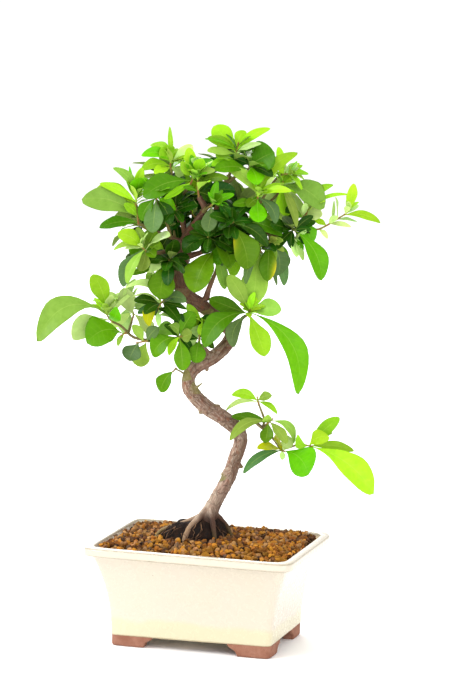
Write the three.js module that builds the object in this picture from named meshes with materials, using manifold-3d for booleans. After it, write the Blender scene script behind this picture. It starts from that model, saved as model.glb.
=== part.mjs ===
// A firethorn bonsai in a glazed oblong pot, in millimetres, +Z up.
// The origin is the middle of the bottom of the whole object's box, on the ground.
// The tree's points are given as [right, back, up] from the pot's centre on the ground, in a frame
// turned by viewTurn, so that "right" runs across the side that the tree is shown from.
import * as THREE from "three";
import { mergeVertices } from "three/addons/utils/BufferGeometryUtils.js";
import Module from "manifold-3d";

const wasm = await Module();
wasm.setup();

// Pot
const rimHalfLength = 75;
const rimHalfWidth = 58;
const rimHeight = 71.5;
const lipOverhang = 5;
const lipDepth = 7;
const lipWidth = 6;
const wallThickness = 4.5;
const wallFlare = 11.8;
const footHeight = 9.2;
const footThickness = 9;
const footGapAlong = 25;
const footGapAcross = 13;
const floorThickness = 5.2;
const rimSquareness = 14;
const baseSquareness = 16;
const potRingPoints = 28;
const drainRadius = 6;
const drainOffset = 26;

// Soil
const clearance = 0.35;
const meshSide = 19;
const meshThickness = 0.9;
const meshCells = 2;
const soilEdgeHeight = 69.1;
const soilMound = 3.4;
const soilTilt = 0.012;
const granuleRelief = 1.6;
const soilRings = 9;
const soilRingPoints = 44;
const rootBallCentre = [-10, 1];
const rootBallHalfLength = 27;
const rootBallHalfWidth = 19;
const rootBallBottom = 44;
const rootBallTop = 84;

// Tree
const viewTurn = THREE.MathUtils.degToRad(17);
const trunkSides = 8;
const thickLimbRadius = 2.5;
const stemSides = 4;
const stemRadius = 0.8;
const stemTipRadius = 0.6;
const bladeThickness = 1.2;
const stalkHalfWidth = 0.45;
const bladeFold = 0.28;
const foldedLeafWidth = 9;
const leafClearance = 0.3;
const fillLeafLength = [19, 29];
const fillLeafShape = 0.42;
const goldenAngle = THREE.MathUtils.degToRad(137.5);

const tones = {
  lime: 0x9ccb2b,
  bright: 0x5aa80f,
  green: 0x2f7a1c,
  grey: 0x5c8a5f,
  dark: 0x1e4d17,
  pale: 0xc3dc7a,
  olive: 0x93a43a,
  yellow: 0xc9bb1c,
};

// The trunk from below the soil to its top: [right, back, up, radius].
const trunkPath = [
  [-2, 0, 65, 6.2], [-2, 0, 78, 6.8], [0, 0, 88, 6.2], [3, 1, 96, 5.3], [9, 3, 107, 4.9],
  [14, 5, 117, 5.1], [17, 6, 127, 4.7], [20, 6, 136, 4.6], [21, 5, 143, 4.8], [18, 3, 150, 5.4],
  [9, -1, 158, 5.2], [-4, -6, 167, 5.4], [-14, -9, 178, 5.3], [-16, -9, 186, 4.6],
  [-12, -7, 194, 4.9], [1, -2, 201, 4.9], [10, 3, 209, 4.7], [13, 5, 217, 4.6], [6, 5, 225, 4.6],
  [-1, 4, 231, 4.8], [-9, 2, 237, 4.9], [-16, 0, 242, 4.9], [-21, -1, 247, 4.9],
  [-24, -2, 254, 4.8], [-24, -2, 261, 4.5], [-21, -2, 268, 4.1], [-22, -2, 275, 3.3],
  [-20, -4, 284, 2.9], [-13, -8, 295, 2.6], [-7, -13, 305, 2.3], [-11, -17, 314, 2],
];

const roots = {
  left: [
    [-2, -2, 94, 2.3], [-6, -4, 89, 2.4], [-12, -8, 83, 2.3], [-16, -12, 76, 2],
    [-20, -15, 63, 1.6],
  ],
  far_left: [
    [-2, 0, 91, 2.1], [-10, 2, 86, 2], [-19, 3, 82, 1.7], [-28, 4, 79, 1.5], [-35, 4, 75, 1.3],
    [-41, 4, 63, 1.1],
  ],
  right: [
    [1, 0, 92, 2.4], [6, 1, 88, 2.2], [9, 2, 85, 1.9], [13, 3, 80, 1.6], [18, 4, 68, 1.3],
  ],
  middle: [
    [1, -3, 93, 2.5], [2, -7, 88, 2.2], [3, -10, 83, 1.9], [4, -12, 77, 1.6], [6, -13, 64, 1.3],
  ],
  back: [
    [-1, 3, 91, 2.4], [-4, 10, 87, 2.2], [-8, 17, 82, 1.9], [-13, 22, 77, 1.5], [-17, 25, 65, 1.2],
  ],
};

const limbs = {
  low_left: [
    [0, -2, 200, 2.2], [-6, -6, 208, 1.7], [-12, -8, 211, 1.6], [-18, -9, 211, 1.5],
    [-25, -9, 214, 1.5], [-32, -9, 213, 1.4], [-38, -9, 212, 1.3], [-46, -8, 213, 1.2],
    [-55, -7, 215, 1.1], [-63, -6, 222, 1], [-69, -6, 225, 0.9],
  ],
  right_rosette: [
    [12, 3, 217, 2.2], [17, -3, 223, 1.6], [20, -8, 229, 1.4], [23, -12, 232, 1.2],
  ],
  fork: [
    [-5, 0, 241, 2.4], [-3, -3, 249, 1.9], [0, -6, 257, 1.5], [2, -7, 264, 1.1], [3, -8, 271, 0.9],
  ],
  limb_right: [
    [-21, -2, 270, 2.6], [-12, -4, 273, 2], [-5, -6, 276, 1.5], [0, -8, 278, 1.2],
  ],
  limb_right_front: [
    [-9, -5, 274, 1.6], [-2, -10, 284, 1.3], [5, -15, 290, 1.1], [10, -20, 295, 0.9],
  ],
  limb_top: [
    [-15, -7, 293, 2.3], [-7, -4, 294, 1.9], [-1, -2, 301, 1.7], [4, -2, 311, 1.5],
    [8, -3, 322, 1.3], [11, -4, 333, 1.1],
  ],
  limb_cross: [
    [-8, -5, 295, 1.9], [4, -5, 292, 1.8], [14, -6, 294, 1.7], [23, -7, 295, 1.6],
    [28, -10, 301, 1.3], [29, -13, 309, 1],
  ],
  limb_east: [
    [22, -7, 295, 1.6], [33, -5, 290, 1.5], [42, -5, 287, 1.3], [52, -6, 285, 1.1],
  ],
  limb_far_east: [
    [33, -5, 290, 1.3], [45, 0, 293, 1.2], [57, 2, 294, 1.1], [65, 2, 292, 0.9],
  ],
  limb_back_east: [
    [-21, 0, 273, 2.4], [-11, 12, 278, 2], [1, 22, 282, 1.7], [15, 30, 284, 1.4],
    [28, 36, 285, 1.1],
  ],
  limb_back_high: [
    [-17, -4, 288, 2.2], [-11, 10, 296, 1.8], [-4, 21, 305, 1.5], [3, 28, 314, 1.2],
    [9, 32, 323, 1],
  ],
  limb_back_mid: [
    [-5, 17, 280, 1.4], [0, 34, 287, 1.2], [2, 48, 295, 1],
  ],
  limb_back_west: [
    [-21, -1, 278, 2.2], [-29, 12, 280, 1.7], [-38, 22, 282, 1.4], [-46, 28, 285, 1.1],
  ],
  limb_back_northwest: [
    [-20, -3, 285, 2], [-22, 8, 296, 1.6], [-26, 17, 306, 1.3], [-29, 22, 314, 1],
  ],
  limb_west: [
    [-23, -2, 272, 2], [-30, -6, 275, 1.6], [-38, -10, 274, 1.4], [-46, -13, 275, 1.1],
  ],
  limb_northwest: [
    [-21, -2, 280, 2], [-29, -5, 284, 1.6], [-39, -9, 288, 1.4], [-46, -12, 292, 1.2],
    [-52, -13, 294, 1],
  ],
  limb_north: [
    [-20, -4, 285, 1.9], [-23, -3, 297, 1.5], [-27, -3, 310, 1.3], [-30, -4, 322, 1.1],
    [-30, -5, 329, 0.9],
  ],
  twig_lower_west: [
    [-20, -2, 246, 1.6], [-27, -7, 243, 1.2], [-34, -11, 241, 0.9],
  ],
  thorn_twig: [
    [-16, -9, 187, 0.9], [-20, -11, 191, 0.7], [-25, -13, 194, 0.5],
  ],
  low_right: [
    [19, 4, 149, 2.3], [24, 0, 156, 1.7], [29, -3, 157, 1.4], [35, -5, 153, 1.3],
    [40, -6, 149, 1.1], [45, -6, 143, 1], [49, -6, 137, 0.9],
  ],
  low_right_up: [
    [36, -5, 152, 1], [37, -5, 158, 0.9], [35, -5, 164, 0.8], [33, -5, 169, 0.7],
  ],
  limb_top_right: [
    [8, -3, 322, 1.2], [15, -6, 328, 1], [22, -9, 332, 0.8],
  ],
  twig_upper_left: [
    [-27, -3, 310, 1.2], [-21, -10, 316, 1], [-17, -16, 323, 0.8],
  ],
  twig_left_centre: [
    [-30, -6, 285, 1.2], [-33, -12, 296, 1], [-37, -16, 306, 0.9], [-40, -17, 311, 0.8],
  ],
  twig_left_hang: [
    [-30, -6, 275, 1.1], [-30, -10, 270, 0.9],
  ],
  spur_far_left_low: [
    [-58, -7, 218, 0.9], [-60, -11, 218, 0.8],
  ],
  spur_low_left_a: [
    [-44, -8, 212, 1], [-45, -12, 213, 0.8],
  ],
  spur_low_left_b: [
    [-25, -9, 214, 1.1], [-24, -13, 216, 0.9],
  ],
  spur_low_left_c: [
    [-9, -7, 210, 1.1], [-9, -12, 214, 0.9],
  ],
  twig_under: [
    [-3, 2, 231, 1.1], [-6, -3, 227, 0.8],
  ],
  twig_right_top: [
    [30, -12, 308, 1], [36, -5, 318, 0.9], [42, -3, 326, 0.8], [46, -4, 329, 0.7],
  ],
  twig_right_mid: [
    [28, -9, 301, 1.1], [35, -2, 307, 1], [42, -2, 314, 0.9], [45, -4, 319, 0.8],
  ],
  spur_right_fork: [
    [56, 2, 294, 1], [59, -2, 297, 0.8],
  ],
  spur_right_droop: [
    [44, 0, 292, 1.1], [49, -4, 293, 1], [53, -8, 292, 0.9],
  ],
  spur_right_hang_a: [
    [38, -5, 288, 1.1], [38, -10, 285, 0.9],
  ],
  spur_right_hang_b: [
    [27, -7, 294, 1.1], [30, -9, 285, 0.9], [31, -10, 281, 0.8],
  ],
  spur_centre_front: [
    [-7, -13, 304, 1.1], [-3, -20, 308, 0.8],
  ],
  spur_centre_dark: [
    [-2, -10, 284, 1.1], [-3, -15, 285, 0.9],
  ],
  low_right_tip: [
    [48, -6, 138, 0.9], [54, -7, 139, 0.8], [59, -8, 141, 0.7],
  ],
  spur_low_right_mid: [
    [36, -5, 152, 0.9], [39, -9, 156, 0.8],
  ],
  spur_back_east: [
    [15, 30, 284, 1.1], [17, 36, 292, 0.8],
  ],
  spur_back_high: [
    [-4, 21, 305, 1.1], [-10, 30, 311, 0.8],
  ],
  spur_back_west: [
    [-29, 12, 280, 1.1], [-30, 24, 272, 0.8],
  ],
  spur_inner_left: [
    [-24, 3, 293, 1], [-27, -8, 301, 0.8],
  ],
  spur_inner_right: [
    [14, -6, 294, 1], [16, 4, 301, 0.8],
  ],
  knob_upper: [
    [-4, -3, 195, 2.2], [-3, -3, 191, 1.2],
  ],
  knob_low: [
    [-5, -6, 166, 2.6], [-8, -8, 162, 1.2],
  ],
  knob_top: [
    [4, -3, 162, 2.6], [5, -3, 168, 1.4],
  ],
  knob_flake: [
    [12, 4, 120, 2.6], [8, 3, 117, 0.9],
  ],
  knob_right: [
    [18, 6, 125, 2.8], [23, 6, 122, 1],
  ],
  stub_twig: [
    [-13, -10, 180, 1.6], [-9, -12, 182, 0.9], [-6, -13, 185, 0.5],
  ],
  spur_core_upper: [
    [-25, -3, 302, 1.1], [-20, 4, 304, 0.8],
  ],
  spur_core_lower: [
    [-12, -6, 293, 1.1], [-13, 1, 297, 0.8],
  ],
  spur_core_left: [
    [-27, -4, 284, 1.1], [-28, 3, 288, 0.8],
  ],
  spur_core_right: [
    [7, -5, 293, 1.1], [8, -10, 289, 0.8],
  ],
  spur_right_inner: [
    [36, -2, 309, 1], [40, 6, 306, 0.8],
  ],
  spur_left_under: [
    [-37, -9, 274, 1.1], [-38, -3, 269, 0.8],
  ],
  spur_left_light: [
    [-58, -7, 218, 1], [-56, 2, 224, 0.8],
  ],
};

const sprays = {
  top_rosette: {
    from: "limb_top",
    tone: "green",
    stem: [[12, -5, 338], [14, -5, 344], [15, -5, 349]],
    leaves: [
      [-3, -17, 335, 6.5, 2],
      [0, -21, 342, 9.5, 1],
      [31, -15, 351, 4.5, 2],
      [-6, -19, 346, 8, 1],
      [-2, -1, 361, 14, 1],
      [37, -9, 361, 6.5, 3],
      [-6, -13, 354, 8, 1],
      [20, 1, 358, 8, 3],
    ],
    more: 3,
  },
  top_right_leaves: {
    from: "limb_top_right",
    tone: "green",
    stem: [[24, -10, 336]],
    leaves: [
      [-1, -17, 333, 11, 2],
      [29, -20, 323, 13, 2],
      [40, -14, 345, 22.5, 1],
    ],
    more: 2,
  },
  crown_front_rosette: {
    from: "trunk",
    tone: "lime",
    stem: [[-12, -18, 320], [-12, -18, 326], [-13, -18, 332]],
    leaves: [
      [14, -11, 318, 11, 2],
      [-22, -24, 321, 4, 1],
      [1, -20, 312, 9.5, 1],
      [9, -26, 328, 6.5, 3],
      [-24, -22, 338, 8, -1],
      [0, -24, 333, 5.5, 1],
      [-19, -12, 347, 8.5, -1],
      [-9, -24, 341, 8.5, 1],
      [-16, -26, 341, 7, 4],
    ],
    more: 1,
  },
  upper_left_tuft: {
    from: "limb_north",
    tone: "lime",
    stem: [[-31, -6, 334], [-30, -6, 338]],
    leaves: [
      [-42, -14, 329, 8, 1],
      [-22, -2, 326, 8.5, 1],
      [-51, -10, 331, 9, 3],
      [-16, -4, 348, 10, -1],
      [-32, 2, 360, 4, 2],
      [-37, -10, 347, 12.5, 1],
      [-45, 4, 347, 8, 4],
      [-51, -12, 341, 8, 4],
    ],
    more: 1,
  },
  upper_left_big: {
    from: "twig_upper_left",
    tone: "bright",
    stem: [[-15, -18, 327]],
    leaves: [
      [-35, -18, 312, 5.5, 0],
      [-49, -25, 314, 17, 4],
      [-6, -15, 323, 7, 1],
    ],
    more: 1,
  },
  left_centre_upper: {
    from: "twig_left_centre",
    tone: "bright",
    stem: [[-40, -18, 315]],
    leaves: [
      [-42, -29, 290, 14, 1],
      [-30, -21, 295, 10, 2],
      [-50, -23, 297, 11, 2],
      [-27, -14, 303, 9.5, 1],
    ],
    more: 1,
  },
  left_sprig: {
    from: "limb_northwest",
    tone: "lime",
    stem: [[-53, -14, 301], [-54, -14, 308], [-53, -14, 315]],
    leaves: [
      [-79, -13, 291, 9.5, 2],
      [-91, -20, 311, 18, 6],
      [-62, -22, 309, 6.5, 1],
      [-81, -6, 318, 10, 4],
      [-79, -16, 322, 7, 2],
      [-61, -10, 325, 4.5, 1],
      [-70, -18, 333, 6.5, 4],
      [-51, -22, 327, 13.5, 1],
      [-50, -10, 333, 7, 1],
    ],
    more: 0,
  },
  left_rosette: {
    from: "limb_west",
    tone: "pale",
    stem: [[-48, -15, 277], [-50, -16, 279]],
    leaves: [
      [-50, -18, 262, 10, -1],
      [-40, -20, 272, 8, 1],
      [-59, -25, 254, 8, 3],
      [-62, -15, 251, 11, 4],
      [-41, -15, 291, 12, -1],
      [-69, -17, 276, 4.5, 4],
      [-66, -22, 289, 11, 2],
      [-53, -14, 292, 7, 1],
    ],
    more: 1,
  },
  left_hanging: {
    from: "twig_left_hang",
    tone: "dark",
    stem: [[-31, -11, 267]],
    leaves: [
      [-27, -18, 285, 11, 1],
      [-31, -23, 253, 9.5, 1],
      [-44, -14, 261, 8, 2],
      [-36, -19, 243, 19.5, 3],
    ],
    more: 1,
  },
  lower_west: {
    from: "twig_lower_west",
    tone: "dark",
    stem: [[-36, -12, 239], [-38, -12, 235], [-38, -12, 229]],
    leaves: [
      [-18, -15, 242, 9, 3],
      [-23, -20, 228, 9, 1],
      [-61, -10, 249, 6, 9],
      [-18, -24, 237, 5.5, 1],
      [-46, -14, 259, 9.5, 2],
      [-44, -18, 224, 9, 5],
      [-37, -18, 224, 4.5, 1],
      [-24, -12, 225, 5.5, 4],
    ],
    more: 0,
  },
  far_left_rosette: {
    from: "low_left",
    tone: "lime",
    stem: [[-71, -7, 227], [-73, -7, 230], [-74, -7, 234]],
    leaves: [
      [-96, -19, 214, 17.5, 4],
      [-66, -17, 237, 9, -4],
      [-70, -15, 245, 8, 1],
      [-120, -21, 214, 20, 15],
      [-83, -7, 258, 13.5, 2],
    ],
    more: 0,
  },
  far_left_low: {
    from: "spur_far_left_low",
    tone: "bright",
    stem: [[-62, -12, 217]],
    leaves: [
      [-65, -13, 209, 4, 1],
      [-86, -22, 213, 24.5, 6],
    ],
    more: 0,
  },
  low_left_a: {
    from: "spur_low_left_a",
    tone: "grey",
    stem: [[-51, -14, 212]],
    leaves: [
      [-51, -12, 195, 15.5, 0],
      [-37, -14, 223, 9, 1],
      [-55, -11, 224, 7, 1],
      [-57, -20, 200, 15.5, 1],
    ],
    more: 0,
  },
  low_left_b: {
    from: "spur_low_left_b",
    tone: "green",
    stem: [[-22, -16, 217]],
    leaves: [
      [-41, -16, 203, 14.5, 4],
      [-39, -6, 219, 12, 3],
      [-32, -20, 224, 7, 4],
      [-20, -21, 194, 12.5, 1],
      [-30, -7, 203, 6.5, 1],
      [-14, -21, 221, 10, -1],
      [-13, -13, 234, 12, 1],
    ],
    more: 0,
  },
  low_left_c: {
    from: "spur_low_left_c",
    tone: "green",
    stem: [[-9, -14, 217]],
    leaves: [
      [-11, -17, 199, 13.5, 1],
      [-5, -9, 226, 7, 1],
    ],
    more: 1,
  },
  under_trunk_leaves: {
    from: "twig_under",
    tone: "lime",
    stem: [[-8, -6, 225]],
    leaves: [
      [-18, -4, 238, 7, -1],
      [-15, -11, 209, 8.5, 2],
    ],
    more: 0,
  },
  stray_leaf: {
    from: "thorn_twig",
    tone: "bright",
    stem: [[-26, -14, 193]],
    leaves: [
      [-35, -16, 178, 11.5, 2],
    ],
    more: 0,
  },
  right_rosette: {
    from: "right_rosette",
    tone: "lime",
    stem: [[24, -15, 234], [25, -17, 236]],
    leaves: [
      [14, -15, 210, 11, 4],
      [-3, -6, 242, 11, 0],
      [-6, -31, 212, 16.5, 8],
      [36, -28, 206, 15.5, 1],
      [47, -24, 238, 13.5, 2],
      [60, -16, 178, 18, 14],
      [10, -19, 261, 12, 1],
    ],
    more: 0,
  },
  right_crown_rosette: {
    from: "limb_cross",
    tone: "lime",
    stem: [[29, -15, 313], [30, -16, 317]],
    leaves: [
      [12, -22, 309, 7, 1],
      [30, -25, 298, 13, -1],
      [22, -19, 308, 8, 1],
      [42, -21, 297, 9, 4],
      [9, -23, 333, 9.5, 4],
      [56, -22, 345, 9, 6],
      [52, -28, 320, 6.5, 2],
      [42, -8, 332, 7.5, 2],
      [45, -18, 324, 4.5, 1],
    ],
    more: 0,
  },
  right_twig: {
    from: "twig_right_top",
    tone: "lime",
    stem: [[52, -5, 330]],
    leaves: [
      [43, 6, 347, 6, 1],
      [42, -6, 334, 4.5, 1],
      [47, -1, 336, 4, 1],
      [56, -8, 337, 5.5, 1],
      [57, -5, 334, 4, 1],
    ],
    more: 0,
  },
  right_big: {
    from: "twig_right_mid",
    tone: "lime",
    stem: [[46, -5, 323]],
    leaves: [
      [49, 2, 301, 13, -1],
      [63, -2, 296, 7, 3],
      [56, -18, 294, 7, 3],
      [75, -11, 307, 19, 5],
    ],
    more: 1,
  },
  far_right_sprig: {
    from: "limb_far_east",
    tone: "pale",
    stem: [[71, 0, 291], [77, -2, 294], [83, -3, 298], [89, -4, 302], [92, -4, 305]],
    leaves: [
      [78, -4, 285, 4, 1],
      [68, 2, 297, 4.5, 1],
      [85, -6, 301, 4.5, 1],
      [94, -8, 294, 4, 1],
      [114, -6, 297, 7, 3],
      [95, -6, 324, 8, 0],
    ],
    more: 0,
  },
  right_fork: {
    from: "spur_right_fork",
    tone: "lime",
    stem: [[62, -4, 301], [64, -4, 304], [65, -4, 308]],
    leaves: [
      [74, -10, 303, 12, 3],
      [67, -6, 282, 12.5, 1],
      [62, -10, 311, 5.5, 1],
      [73, -10, 308, 4.5, 1],
      [81, -8, 323, 6.5, 4],
    ],
    more: 0,
  },
  right_droop: {
    from: "spur_right_droop",
    tone: "dark",
    stem: [[55, -10, 291]],
    leaves: [
      [46, -10, 301, 7, 1],
      [38, -21, 297, 10, 0],
      [52, -5, 300, 6.5, 1],
      [74, -19, 258, 15, 6],
    ],
    more: 0,
  },
  east_end: {
    from: "limb_east",
    tone: "pale",
    stem: [[55, -7, 284]],
    leaves: [
      [57, -12, 273, 6.5, 1],
      [61, -9, 276, 4, 2],
    ],
    more: 1,
  },
  right_hanging_a: {
    from: "spur_right_hang_a",
    tone: "olive",
    stem: [[38, -12, 283]],
    leaves: [
      [37, -21, 257, 12.5, 1],
      [44, -13, 260, 14.5, 4],
      [49, -5, 252, 9, 3],
      [44, 1, 251, 4.5, -1],
    ],
    more: 0,
  },
  right_hanging_b: {
    from: "spur_right_hang_b",
    tone: "green",
    stem: [[32, -11, 277]],
    leaves: [
      [22, -23, 255, 6.5, 4],
      [28, -15, 241, 19.5, 1],
    ],
    more: 1,
  },
  centre_right: {
    from: "limb_right_front",
    tone: "dark",
    stem: [[12, -22, 297]],
    leaves: [
      [23, -29, 266, 21, 4],
      [37, -22, 281, 10, 4],
      [47, -16, 288, 10, 4],
      [12, -24, 308, 7, 1],
    ],
    more: 1,
  },
  centre_front: {
    from: "spur_centre_front",
    tone: "bright",
    stem: [[-1, -22, 310]],
    leaves: [
      [-5, -25, 291, 11.5, -1],
      [2, -16, 323, 9.5, 1],
      [5, -27, 316, 9.5, 0],
      [11, -28, 307, 4, 1],
    ],
    more: 0,
  },
  centre_dark: {
    from: "spur_centre_dark",
    tone: "dark",
    stem: [[-4, -17, 286]],
    leaves: [
      [12, -19, 266, 15, 4],
      [-21, -22, 276, 15, 3],
      [-13, -16, 297, 9.5, 1],
    ],
    more: 1,
  },
  centre_hanging: {
    from: "limb_right",
    tone: "grey",
    stem: [[2, -10, 277]],
    leaves: [
      [-13, -17, 249, 22.5, 4],
      [8, -4, 250, 8.5, 0],
    ],
    more: 0,
  },
  fork_end: {
    from: "fork",
    tone: "green",
    stem: [[4, -9, 274]],
    leaves: [
      [17, -10, 260, 15.5, 2],
      [-1, -4, 266, 8, 1],
    ],
    more: 1,
  },
  low_right_top: {
    from: "low_right_up",
    tone: "olive",
    stem: [[32, -5, 173]],
    leaves: [
      [10, 1, 162, 4, 4],
      [14, -9, 176, 7.5, 3],
      [46, -9, 163, 4.5, 2],
      [42, -9, 176, 7, 1],
    ],
    more: 0,
  },
  low_right_mid: {
    from: "spur_low_right_mid",
    tone: "olive",
    stem: [[42, -10, 159]],
    leaves: [
      [14, -5, 160, 8, 1],
      [38, -14, 144, 10, -1],
      [13, -22, 146, 8, 6],
      [39, -12, 163, 7, -2],
      [53, -18, 144, 8, 1],
      [58, -12, 143, 7.5, 6],
    ],
    more: 0,
  },
  low_right_lower: {
    from: "low_right",
    tone: "yellow",
    stem: [[51, -9, 137]],
    leaves: [
      [32, -9, 141, 7.5, 2],
      [45, -11, 151, 6.5, 1],
      [23, -11, 121, 7.5, 4],
      [50, -11, 131, 4.5, 0],
      [54, -6, 148, 9, -1],
      [68, -18, 122, 23, 5],
    ],
    more: 0,
  },
  low_right_end: {
    from: "low_right_tip",
    tone: "lime",
    stem: [[64, -9, 142], [69, -10, 141]],
    leaves: [
      [60, -12, 150, 6.5, -4],
      [114, -20, 109, 19, 6],
      [89, -12, 162, 10, 1],
      [82, -18, 149, 11, 3],
      [100, -6, 137, 7.5, 2],
    ],
    more: 0,
  },
  back_east: {
    from: "limb_back_east",
    tone: "green",
    stem: [[33, 39, 287], [38, 42, 289]],
    leaves: [],
    more: 6,
  },
  back_east_upper: {
    from: "spur_back_east",
    tone: "green",
    stem: [[18, 40, 299], [20, 42, 304]],
    leaves: [],
    more: 5,
  },
  back_high: {
    from: "limb_back_high",
    tone: "green",
    stem: [[11, 34, 329], [12, 36, 334]],
    leaves: [],
    more: 6,
  },
  back_high_left: {
    from: "spur_back_high",
    tone: "green",
    stem: [[-13, 35, 316], [-16, 38, 320]],
    leaves: [],
    more: 5,
  },
  back_middle: {
    from: "limb_back_mid",
    tone: "green",
    stem: [[3, 54, 300], [4, 58, 304]],
    leaves: [],
    more: 6,
  },
  back_west: {
    from: "limb_back_west",
    tone: "green",
    stem: [[-51, 31, 287], [-55, 33, 288]],
    leaves: [],
    more: 6,
  },
  back_west_lower: {
    from: "spur_back_west",
    tone: "green",
    stem: [[-30, 30, 265], [-30, 33, 260]],
    leaves: [],
    more: 5,
  },
  back_northwest: {
    from: "limb_back_northwest",
    tone: "green",
    stem: [[-31, 25, 319], [-34, 27, 324]],
    leaves: [],
    more: 6,
  },
  inner_left: {
    from: "spur_inner_left",
    tone: "dark",
    stem: [[-27, -12, 306]],
    leaves: [],
    more: 4,
  },
  inner_right: {
    from: "spur_inner_right",
    tone: "dark",
    stem: [[17, 6, 306]],
    leaves: [],
    more: 4,
  },
  core_upper: {
    from: "spur_core_upper",
    tone: "dark",
    stem: [[-17, 8, 307], [-15, 10, 312]],
    leaves: [
      [-20, 6, 286, 12.5, 1],
      [2, 15, 311, 11, 2],
      [-3, 16, 323, 13.5, 1],
      [-37, 9, 309, 12, 2],
      [-26, 17, 328, 11.5, 0],
      [-9, 10, 292, 13, 2],
    ],
    more: 0,
  },
  core_lower: {
    from: "spur_core_lower",
    tone: "dark",
    stem: [[-16, 4, 301], [-18, 5, 305]],
    leaves: [
      [-20, 9, 318, 12.5, 2],
      [-32, 9, 312, 11, 0],
      [-9, 0, 283, 13.5, 1],
      [-31, 1, 289, 12, 1],
      [-15, 11, 324, 11.5, 2],
    ],
    more: 0,
  },
  core_left: {
    from: "spur_core_left",
    tone: "green",
    stem: [[-28, 5, 292], [-27, 6, 296]],
    leaves: [
      [-38, 0, 272, 11.5, 0],
      [-41, 1, 306, 12.5, 2],
      [-47, 1, 289, 11, 1],
      [-24, 2, 274, 13.5, 1],
    ],
    more: 0,
  },
  core_right: {
    from: "spur_core_right",
    tone: "dark",
    stem: [[9, -12, 285]],
    leaves: [
      [-8, -17, 275, 12.5, 2],
      [22, -7, 302, 11, 0],
      [2, -17, 267, 13.5, 0],
      [-1, -8, 304, 12, 1],
      [19, -18, 268, 11.5, 2],
    ],
    more: 0,
  },
  right_inner: {
    from: "spur_right_inner",
    tone: "lime",
    stem: [[43, 9, 307], [45, 10, 310]],
    leaves: [
      [48, 16, 325, 11, 1],
      [61, 5, 299, 11, 2],
      [26, 17, 319, 12, 2],
      [23, 17, 304, 11.5, 1],
      [58, 18, 324, 13, 1],
      [51, 18, 329, 13.5, 1],
    ],
    more: 0,
  },
  left_under: {
    from: "spur_left_under",
    tone: "green",
    stem: [[-41, 0, 265], [-43, 2, 260]],
    leaves: [
      [-58, -5, 276, 12.5, 2],
      [-59, -4, 275, 11, 1],
      [-27, 8, 250, 13.5, 1],
      [-44, 9, 253, 7, 1],
      [-61, -3, 270, 11.5, 1],
      [-40, 10, 281, 13, 0],
    ],
    more: 0,
  },
  left_light: {
    from: "spur_left_light",
    tone: "pale",
    stem: [[-55, 5, 229], [-57, 6, 234], [-60, 7, 238]],
    leaves: [
      [-62, 0, 248, 12.5, 0],
      [-42, 1, 214, 11, 2],
      [-72, 2, 219, 8.5, 0],
      [-35, 14, 232, 12, 1],
      [-36, 14, 237, 7, 1],
      [-60, 2, 214, 13, 2],
      [-79, 3, 235, 13.5, 2],
      [-54, 3, 254, 6, 2],
    ],
    more: 0,
  },
};

// A seeded source of draws between 0 and 1.
function seeded(start) {
  let state = start;
  return () => {
    state = (state * 1664525 + 1013904223) % 4294967296;
    return state / 4294967296;
  };
}

function solidOf(geometry) {
  const bare = geometry.index ? geometry.toNonIndexed() : geometry.clone();
  bare.deleteAttribute("normal");
  bare.deleteAttribute("uv");
  const merged = mergeVertices(bare, 1e-4);
  return new wasm.Manifold(
    new wasm.Mesh({
      numProp: 3,
      vertProperties: new Float32Array(merged.attributes.position.array),
      triVerts: new Uint32Array(merged.index.array),
    }),
  );
}

// The largest body of a solid, without loose scraps and sealed hollows.
function mainBody(solid) {
  const bodies = solid.decompose();
  return bodies.reduce((best, body) => (body.volume() > best.volume() ? body : best));
}

function geometryOf(solid) {
  const { vertProperties, triVerts } = solid.getMesh();
  const geometry = new THREE.BufferGeometry();
  geometry.setAttribute("position", new THREE.BufferAttribute(vertProperties, 3));
  geometry.setIndex(new THREE.BufferAttribute(triVerts, 1));
  return geometry;
}

function meshOf(solid, name, material) {
  const geometry = geometryOf(mainBody(solid));
  geometry.computeVertexNormals();
  const mesh = new THREE.Mesh(geometry, material);
  mesh.name = name;
  return mesh;
}

// A closed skin over rings of equally many points, which run anticlockwise seen from the end.
// Where mirrored is set, neighbouring sides are split the opposite way, so both faces of a blade match.
function loft(rings, mirrored = false) {
  const count = rings[0].length;
  const triangles = [];
  for (let level = 0; level + 1 < rings.length; level++) {
    for (let side = 0; side < count; side++) {
      const next = (side + 1) % count;
      const low = rings[level];
      const high = rings[level + 1];
      if (mirrored && side % 2) {
        triangles.push(low[side], low[next], high[side], low[next], high[next], high[side]);
      } else {
        triangles.push(low[side], low[next], high[next], low[side], high[next], high[side]);
      }
    }
  }
  const first = rings[0];
  const last = rings[rings.length - 1];
  for (let side = 1; side + 1 < count; side++) {
    triangles.push(first[0], first[side + 1], first[side]);
    triangles.push(last[0], last[side], last[side + 1]);
  }
  const whole = [];
  for (let corner = 0; corner < triangles.length; corner += 3) {
    const [a, b, c] = triangles.slice(corner, corner + 3);
    const flat = a.distanceTo(b) < 1e-4 || b.distanceTo(c) < 1e-4 || c.distanceTo(a) < 1e-4;
    if (!flat) whole.push(a, b, c);
  }
  return new THREE.BufferGeometry().setFromPoints(whole);
}

// An oblong outline with bowed sides: the higher the squareness, the straighter the sides.
function bowedRing(halfLength, halfWidth, height, squareness, count = potRingPoints) {
  return Array.from({ length: count }, (_, index) => {
    const angle = (2 * Math.PI * index) / count;
    const across = Math.cos(angle);
    const along = Math.sin(angle);
    return new THREE.Vector3(
      halfLength * Math.sign(across) * Math.abs(across) ** (2 / squareness),
      halfWidth * Math.sign(along) * Math.abs(along) ** (2 / squareness),
      height,
    );
  });
}

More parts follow.
